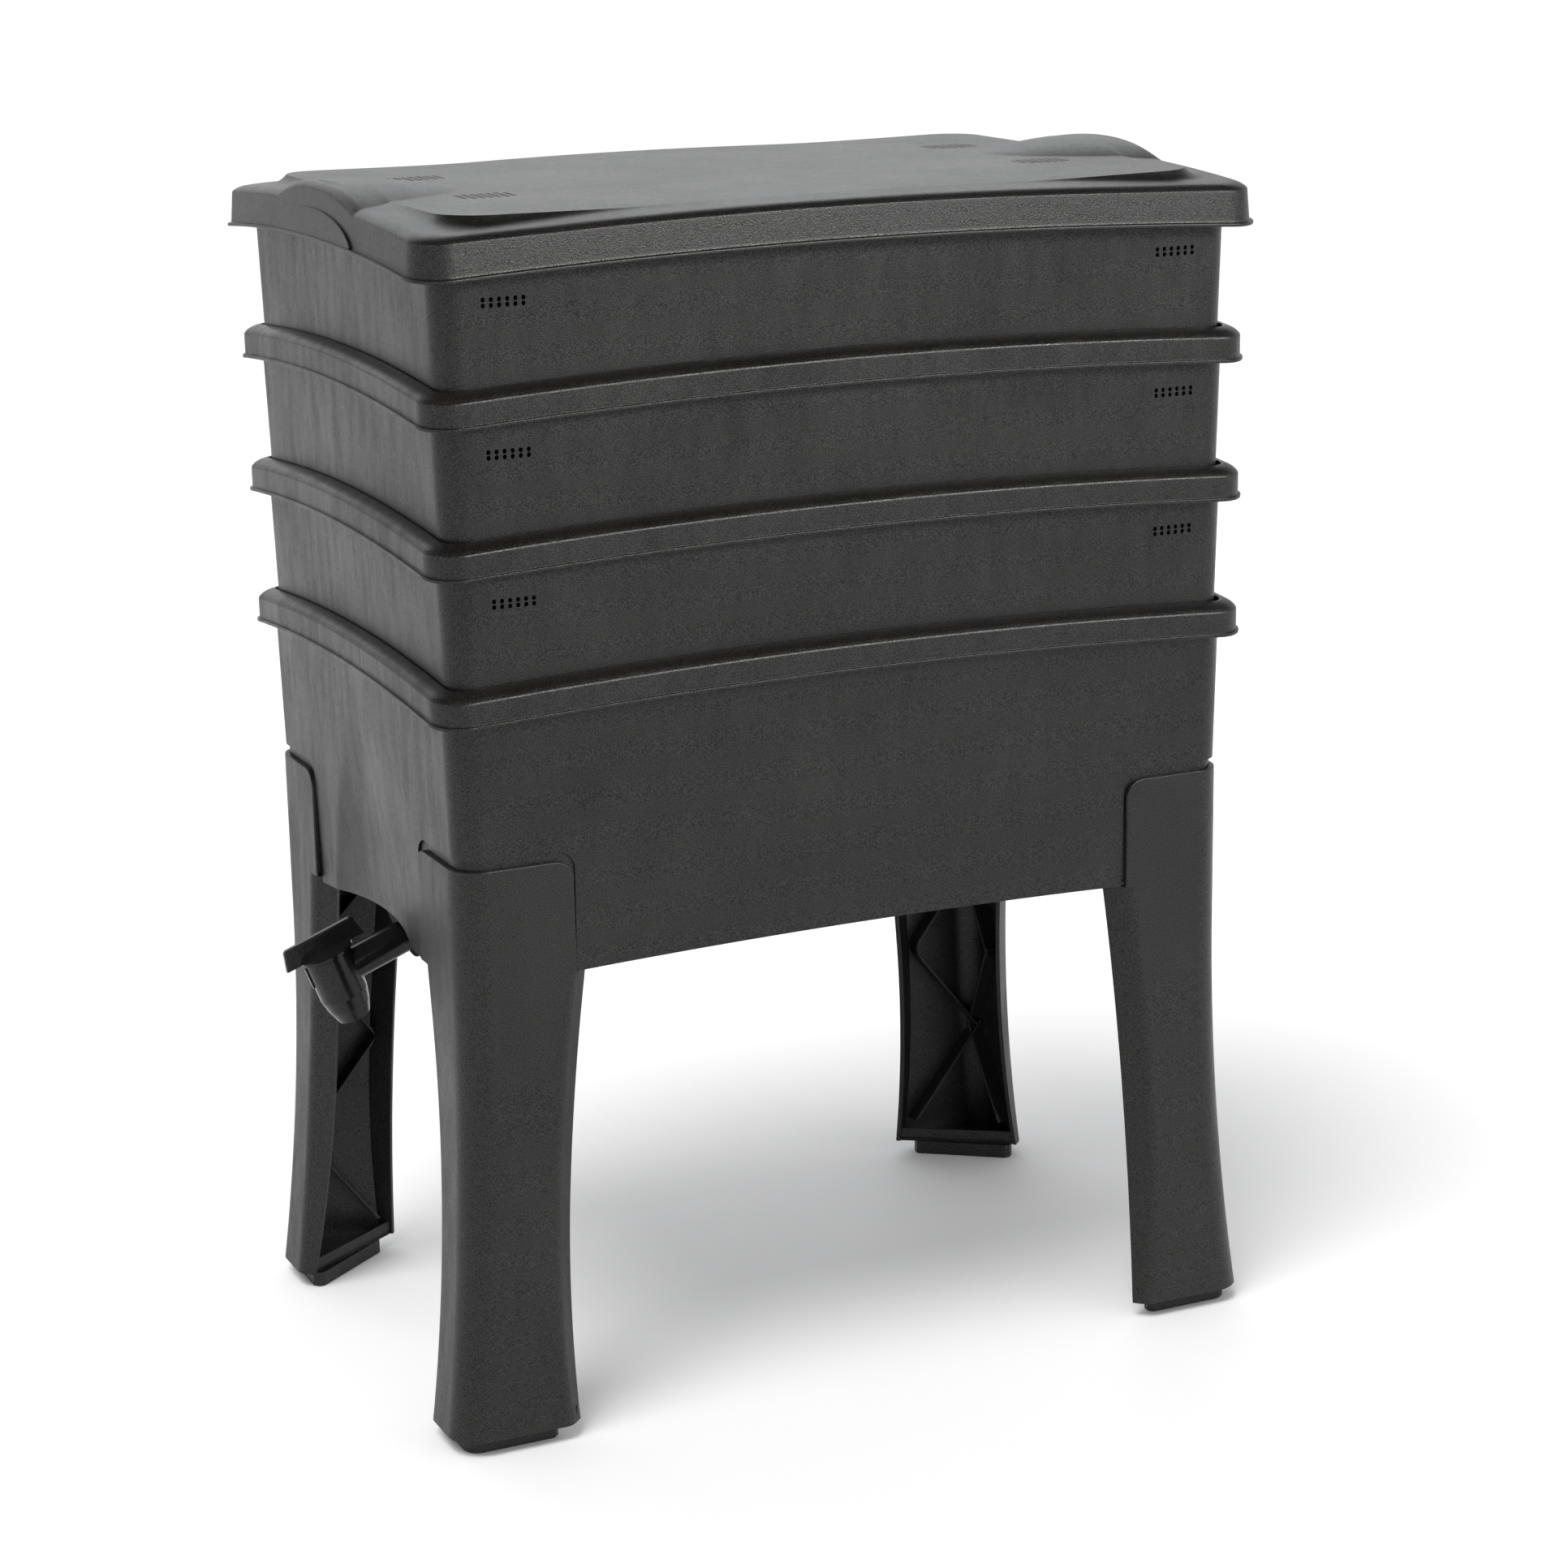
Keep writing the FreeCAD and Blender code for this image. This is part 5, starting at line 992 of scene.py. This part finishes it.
def build_lid():
    n_x = sections(-250.7, 250.7, 3.2)
    n_y = np.unique(np.concatenate([sections(-163.2, -84.0, 3.3), sections(-84.0, 84.0, 1.6), sections(84.0, 163.2, 3.3)]))
    ring = Ring(LID_A, LID_B, LID_R, n_x, n_y, 16)
    n = ring.n
    xb, yb = ring.at(DECK_A, DECK_B, DECK_R)
    wall = np.clip(deck_height(xb, yb) - band_height(xb, yb, 99.0), 0, None)
    span = 26.4

    def surface(x, y, d, t=None):
        """Top height at plan points d in from the skirt; t is the share of the way to the deck."""
        band = band_height(x, y, d)
        if t is None:
            base = deck_height(x, y)
            flat0 = deck_height(x, y * 0)
        else:
            s = (1.0 - t) * span
            g = np.clip(1.0 - s / 8.5, 0, None) ** 2.6
            base = band + wall * g
            flat0 = band_height(x, y * 0, d)
        ax = np.abs(x)
        edge_fall = np.where(ax > 255, 4.4 * (1.0 - swell((TOP_A - ax) / 8.0)), 0.0)
        own_fall = SHOULDER_H * (1.0 - swell((TOP_A - ax) / SHOULDER_W))
        bulge = hump_bulge(x, y, np.minimum(flat0, 99) + own_fall * 0)
        bulge = np.where(ax > 245, hump_bulge(x, y, band_height(x, y * 0, 99.0)), bulge)
        share = np.clip((ax - 255.0) / 8.0, 0, 1)
        ay = np.abs(y)
        w = 73.0 * np.sqrt(np.clip((ax - 180.6) / 92.0, 0, 1)) + 1e-6
        s2 = np.clip(1.0 - (ay / w) ** 2.4, 0, None)
        bulge = bulge - (edge_fall - own_fall) * np.minimum(1.0, s2 * 2.5) * (ax > 255)
        return base + bulge

    rows = []                                   # (x, y, z) arrays

    def put(a, b, r, z):
        x, y = ring.at(a, b, r)
        zz = z(x, y) if callable(z) else z + arch(x, y)
        rows.append(np.stack([x, y, LID_LINE + zz], 1))

    ts = [k / 24.0 for k in range(25)]
    inner = [0.04, 0.09, 0.15, 0.21, 0.28, 0.35, 0.42, 0.5, 0.58, 0.66, 0.75, 0.84, 0.92, 1.0]

    # inside, from the middle outwards
    for q in reversed(inner):
        a, b, r = DECK_A - 156.0 * q, DECK_B - 156.0 * q, 26.0 - 24.0 * q
        put(a, b, r, lambda x, y: surface(x, y, 99.0) - 1.5)
    for t in (1.0, 0.9, 0.8, 0.65, 0.5, 0.35, 0.2, 0.12):
        a, b, r = (TOP_A + (DECK_A - TOP_A) * t, TOP_B + (DECK_B - TOP_B) * t, TOP_R + (DECK_R - TOP_R) * t)
        put(a, b, r, lambda x, y, t=t: surface(x, y, t * span, t) - 1.5)
    put(TOP_A - 1.8, TOP_B - 1.8, TOP_R - 1.8, lambda x, y: band_height(x, y, 0.0) - 1.0)
    put(271.4, 183.9, 20.7, 0.0)
    # bead
    put(271.4, 183.9, 20.7, -2.2)
    for o, z in ((0.6, -2.2), (2.0, -2.2), (2.35, -2.0), (2.5, -1.6), (2.5, -0.7), (2.35, -0.35), (2.0, -0.2), (0.7, -0.1), (0.2, 0.05), (0.0, 0.4)):
        put(LID_A + o * 0.96, LID_B + o * 0.96, LID_R + o * 0.96, z)
    # skirt
    for z in (1.5, 3.0, 5.0, 7.0, 9.0, 11.0, 13.0, 15.0, 16.5):
        k = 1.5 * z / 17.9
        put(LID_A - k, LID_B - k, LID_R - k,
            lambda x, y, z=z: z + arch(x, y) + corner_lift(x, y) * (z / 17.9)
            + hump_bulge_edge(x, y) * np.clip((z - 6.0) / 11.9, 0, 1))
    # shoulder and band
    shoulder = [0.0, 0.004, 0.011, 0.021, 0.034, 0.05, 0.068, 0.088] + [k / 24.0 for k in range(3, 16)]
    shoulder += [0.66, 0.69, 0.72, 0.75, 0.78, 0.81, 0.84, 0.87, 0.9, 0.93, 0.955, 0.98, 1.0]
    for t in shoulder:
        a, b, r = (TOP_A + (DECK_A - TOP_A) * t, TOP_B + (DECK_B - TOP_B) * t, TOP_R + (DECK_R - TOP_R) * t)
        put(a, b, r, lambda x, y, t=t: surface(x, y, t * span, t))
    # deck
    q = 0.0
    while q < 0.999:
        q = min(1.0, q + (0.0085 if q < 0.5 else 0.02))
        a, b, r = DECK_A - 156.0 * q, DECK_B - 156.0 * q, 26.0 - 24.0 * q
        put(a, b, r, lambda x, y: surface(x, y, 99.0))

    P = np.array(rows)
    faces = strip_faces(len(rows), n)

    def zip_cap(start, flip):
        """Close a collapsed ring across its two long sides."""
        m = len(n_x)
        c = 15                                   # stations on each corner arc
        s0 = 0
        e0 = m + c
        b0 = e0 + len(n_y) + c
        front = [start + s0 + i for i in range(m)]
        back = [start + b0 + (m - 1 - i) for i in range(m)]
        out = []
        for i in range(m - 1):
            f = (front[i], front[i + 1], back[i + 1], back[i])
            out.append(tuple(reversed(f)) if flip else f)
        right = [start + k for k in range(m - 1, b0 + 1)]
        left = [start + k for k in range(b0 + m - 1, n)] + [start]
        out += [tuple(right), tuple(left)]
        return out

    faces += zip_cap(0, True)
    faces += zip_cap((len(rows) - 1) * n, False)
    verts = P.reshape(-1, 3)
    ob = object_from("lid_shell", verts, faces)
    bm = bmesh.new()
    bm.from_mesh(ob.data)
    bmesh.ops.recalc_face_normals(bm, faces=bm.faces)
    bm.to_mesh(ob.data)
    bm.free()

    slots = []
    for sx in (-1, 1):
        for sy in (-1, 1):
            for i in range(7):
                count = 4 if i in (0, 6) else 5
                for j in range(count):
                    x = sx * 186.0 + (i - 3) * 5.1
                    y = sy * 61.5 + (j - (count - 1) / 2.0) * 5.0
                    slots.append(tilted_block(x, y, 3.1, 2.9, LID_LINE + 26.0, LID_LINE + 40.0))
    v, f = join_raw(slots)
    cutter = object_from("lid_cutter", v, f)
    boolean(ob, cutter)
    drop(cutter)
    return ob


def hump_bulge_edge(x, y):
    """Height of the hump's arch over the skirt's own top edge."""
    ax, ay = np.abs(x), np.abs(y)
    s = np.clip(1.0 - (ay / 72.6) ** 2.4, 0, None)
    return np.where(ax > 262, 8.9 * s, 0.0)


def tilted_block(x, y, w, h, z0, z1):
    xs = (x - w / 2, x + w / 2)
    ys = (y - h / 2, y + h / 2)
    v = [(xs[0], ys[0], z0), (xs[1], ys[0], z0), (xs[1], ys[1], z0), (xs[0], ys[1], z0),
         (xs[0], ys[0], z1), (xs[1], ys[0], z1), (xs[1], ys[1], z1), (xs[0], ys[1], z1)]
    f = [(0, 3, 2, 1), (4, 5, 6, 7), (0, 1, 5, 4), (1, 2, 6, 5), (2, 3, 7, 6), (3, 0, 4, 7)]
    return v, f


def end_panel(side):
    """Raised half ellipse on the end skirt, standing on the bead."""
    A, B, z0 = 74.0, 22.5, LID_LINE + 2.3
    n = 64
    outline = []
    for k in range(n + 1):
        th = math.pi * k / n
        y, z = A * math.cos(th), z0 + B * math.sin(th)
        low = LID_LINE + float(arch(np.array(273.2), np.array(y))) - 0.6
        if z > low + 0.3:
            outline.append((y, z))
    lower = []
    y0, y1 = outline[-1][0], outline[0][0]
    m = 40
    for k in range(m + 1):
        y = y0 + (y1 - y0) * k / m
        lower.append((y, LID_LINE + float(arch(np.array(273.2), np.array(y))) - 0.5))
    ring2 = outline + lower[1:-1]
    cy, cz = 0.0, z0 + 6.0
    rows = []
    for out, inset in ((-1.5, 0.0), (0.75, 0.0), (1.15, 0.12), (1.4, 0.4), (1.5, 0.85)):
        row = []
        for y, z in ring2:
            dy, dz = cy - y, cz - z
            ln = math.hypot(dy, dz)
            yy, zz = y + dy / ln * inset, z + dz / ln * inset
            draft = 1.5 * (zz - LID_LINE - 8.0) / 17.9
            row.append((side * (LID_A - max(0.0, draft) + out), yy, zz))
        rows.append(row)
    nn = len(ring2)
    verts = [p for row in rows for p in row]
    faces = strip_faces(len(rows), nn)
    faces.append(tuple(range(nn)))
    faces.append(tuple(reversed(range((len(rows) - 1) * nn, len(rows) * nn))))
    ob = object_from("lid_panel_%s" % ("left" if side < 0 else "right"), verts, faces)
    return ob


lid_ob = build_lid()
finish_mesh(lid_ob, angle=32, material=M_LID)
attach(lid_ob, "cover")
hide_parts("lid")
for side in (-1, 1):
    panel = end_panel(side)
    finish_mesh(panel, angle=40, material=M_LID)
    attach(panel, "cover")

# ---------------------------------------------------------------------------
# Floor, light, camera
# ---------------------------------------------------------------------------


def floor():
    bm = bmesh.new()
    s = 45.0
    vs = [bm.verts.new(p) for p in ((-s, -s, 0), (s, -s, 0), (s, s, 0), (-s, s, 0))]
    bm.faces.new(vs)
    me = bpy.data.meshes.new("floor")
    bm.to_mesh(me)
    bm.free()
    ob = bpy.data.objects.new("floor", me)
    bpy.context.scene.collection.objects.link(ob)
    m, nt, bsdf = new_material("floor_white")
    bsdf.inputs["Base Color"].default_value = (0.86, 0.86, 0.865, 1)
    bsdf.inputs["Roughness"].default_value = 0.95
    bsdf.inputs["Specular IOR Level"].default_value = 0.2
    ob.data.materials.append(m)
    return ob


floor()


def area(name, loc, target, size, radiance, color=(1, 1, 1)):
    """Soft box of a given brightness."""
    ld = bpy.data.lights.new(name, "AREA")
    ld.shape = "RECTANGLE"
    ld.size, ld.size_y = size
    ld.energy = radiance * math.pi * size[0] * size[1]
    ld.color = color
    ob = bpy.data.objects.new(name, ld)
    ob.location = loc
    d = Vector(target) - Vector(loc)
    ob.rotation_euler = d.to_track_quat("-Z", "Y").to_euler()
    bpy.context.scene.collection.objects.link(ob)
    return ob


def sun(name, azimuth, elevation, strength, angle, color=(1, 1, 1)):
    ld = bpy.data.lights.new(name, "SUN")
    ld.energy = strength
    ld.angle = math.radians(angle)
    ld.color = color
    ob = bpy.data.objects.new(name, ld)
    a, e = math.radians(azimuth), math.radians(elevation)
    d = -Vector((math.sin(a) * math.cos(e), -math.cos(a) * math.cos(e), math.sin(e)))
    ob.rotation_euler = d.to_track_quat("-Z", "Y").to_euler()
    bpy.context.scene.collection.objects.link(ob)
    return ob


key = sun("key", -60.0, 63.0, 2.1, 30.0, (1.0, 0.99, 0.975))
fill = sun("fill", 0.0, 89.0, 1.45, 140.0)
for lamp in (key, fill):
    lamp.visible_glossy = False
edge_light = area("edge_light", (1.5, -3.1, 2.1), (0.0, 0.0, 0.6), (2.8, 0.8), 30.0, (1.0, 0.99, 0.975))
edge_light.visible_diffuse = False
area("back_strip", (0.5, 3.4, 2.8), (0.0, 0.0, 0.7), (4.4, 1.7), 1.7, (0.96, 0.98, 1.0))

world = bpy.data.worlds.new("studio")
bpy.context.scene.world = world
world.use_nodes = True
wn, wl = world.node_tree.nodes, world.node_tree.links
bg = wn["Background"]
wc = wn.new("ShaderNodeTexCoord")
ws = wn.new("ShaderNodeSeparateXYZ")
wl.new(wc.outputs["Generated"], ws.inputs["Vector"])
wm = wn.new("ShaderNodeMapRange")
wm.interpolation_type = "SMOOTHSTEP"
wm.inputs["From Min"].default_value = 0.33
wm.inputs["From Max"].default_value = 0.60
wm.inputs["To Min"].default_value = 0.95
wm.inputs["To Max"].default_value = 0.04
wl.new(ws.outputs["Z"], wm.inputs["Value"])
bg.inputs["Color"].default_value = (0.985, 0.992, 1.0, 1)
wl.new(wm.outputs["Result"], bg.inputs["Strength"])

scene = bpy.context.scene
scene.view_settings.view_transform = "Standard"
scene.view_settings.look = "None"
scene.view_settings.exposure = 0.0

cam_d = bpy.data.cameras.new("camera")
cam = bpy.data.objects.new("camera", cam_d)
scene.collection.objects.link(cam)
scene.camera = cam
cam_d.sensor_width = 36.0
cam_d.lens = 4541.196 / 1932.0 * 36.0
cam_d.clip_start = 0.05
cam_d.clip_end = 60.0
cam_d.dof.use_dof = False
az, el, roll = math.radians(-24.8832), math.radians(14.8520), math.radians(-1.01158)
back = Vector((math.sin(az) * math.cos(el), -math.cos(az) * math.cos(el), math.sin(el)))
right = Vector((math.cos(az), math.sin(az), 0.0))
up = back.cross(right)
r2 = right * math.cos(roll) + up * math.sin(roll)
u2 = -right * math.sin(roll) + up * math.cos(roll)
eye = Vector((-0.951466 + SH * 0.001, -2.114833, 0.960973))
cam.matrix_world = Matrix(((r2.x, u2.x, back.x, eye.x), (r2.y, u2.y, back.y, eye.y),
                           (r2.z, u2.z, back.z, eye.z), (0, 0, 0, 1)))

top_z = CAD_BOX[1][2] - 0.00002
for ob in bpy.data.objects:
    if ob.name.startswith("lid_shell"):
        for v in ob.data.vertices:
            if v.co.z > top_z:
                v.co.z = top_z
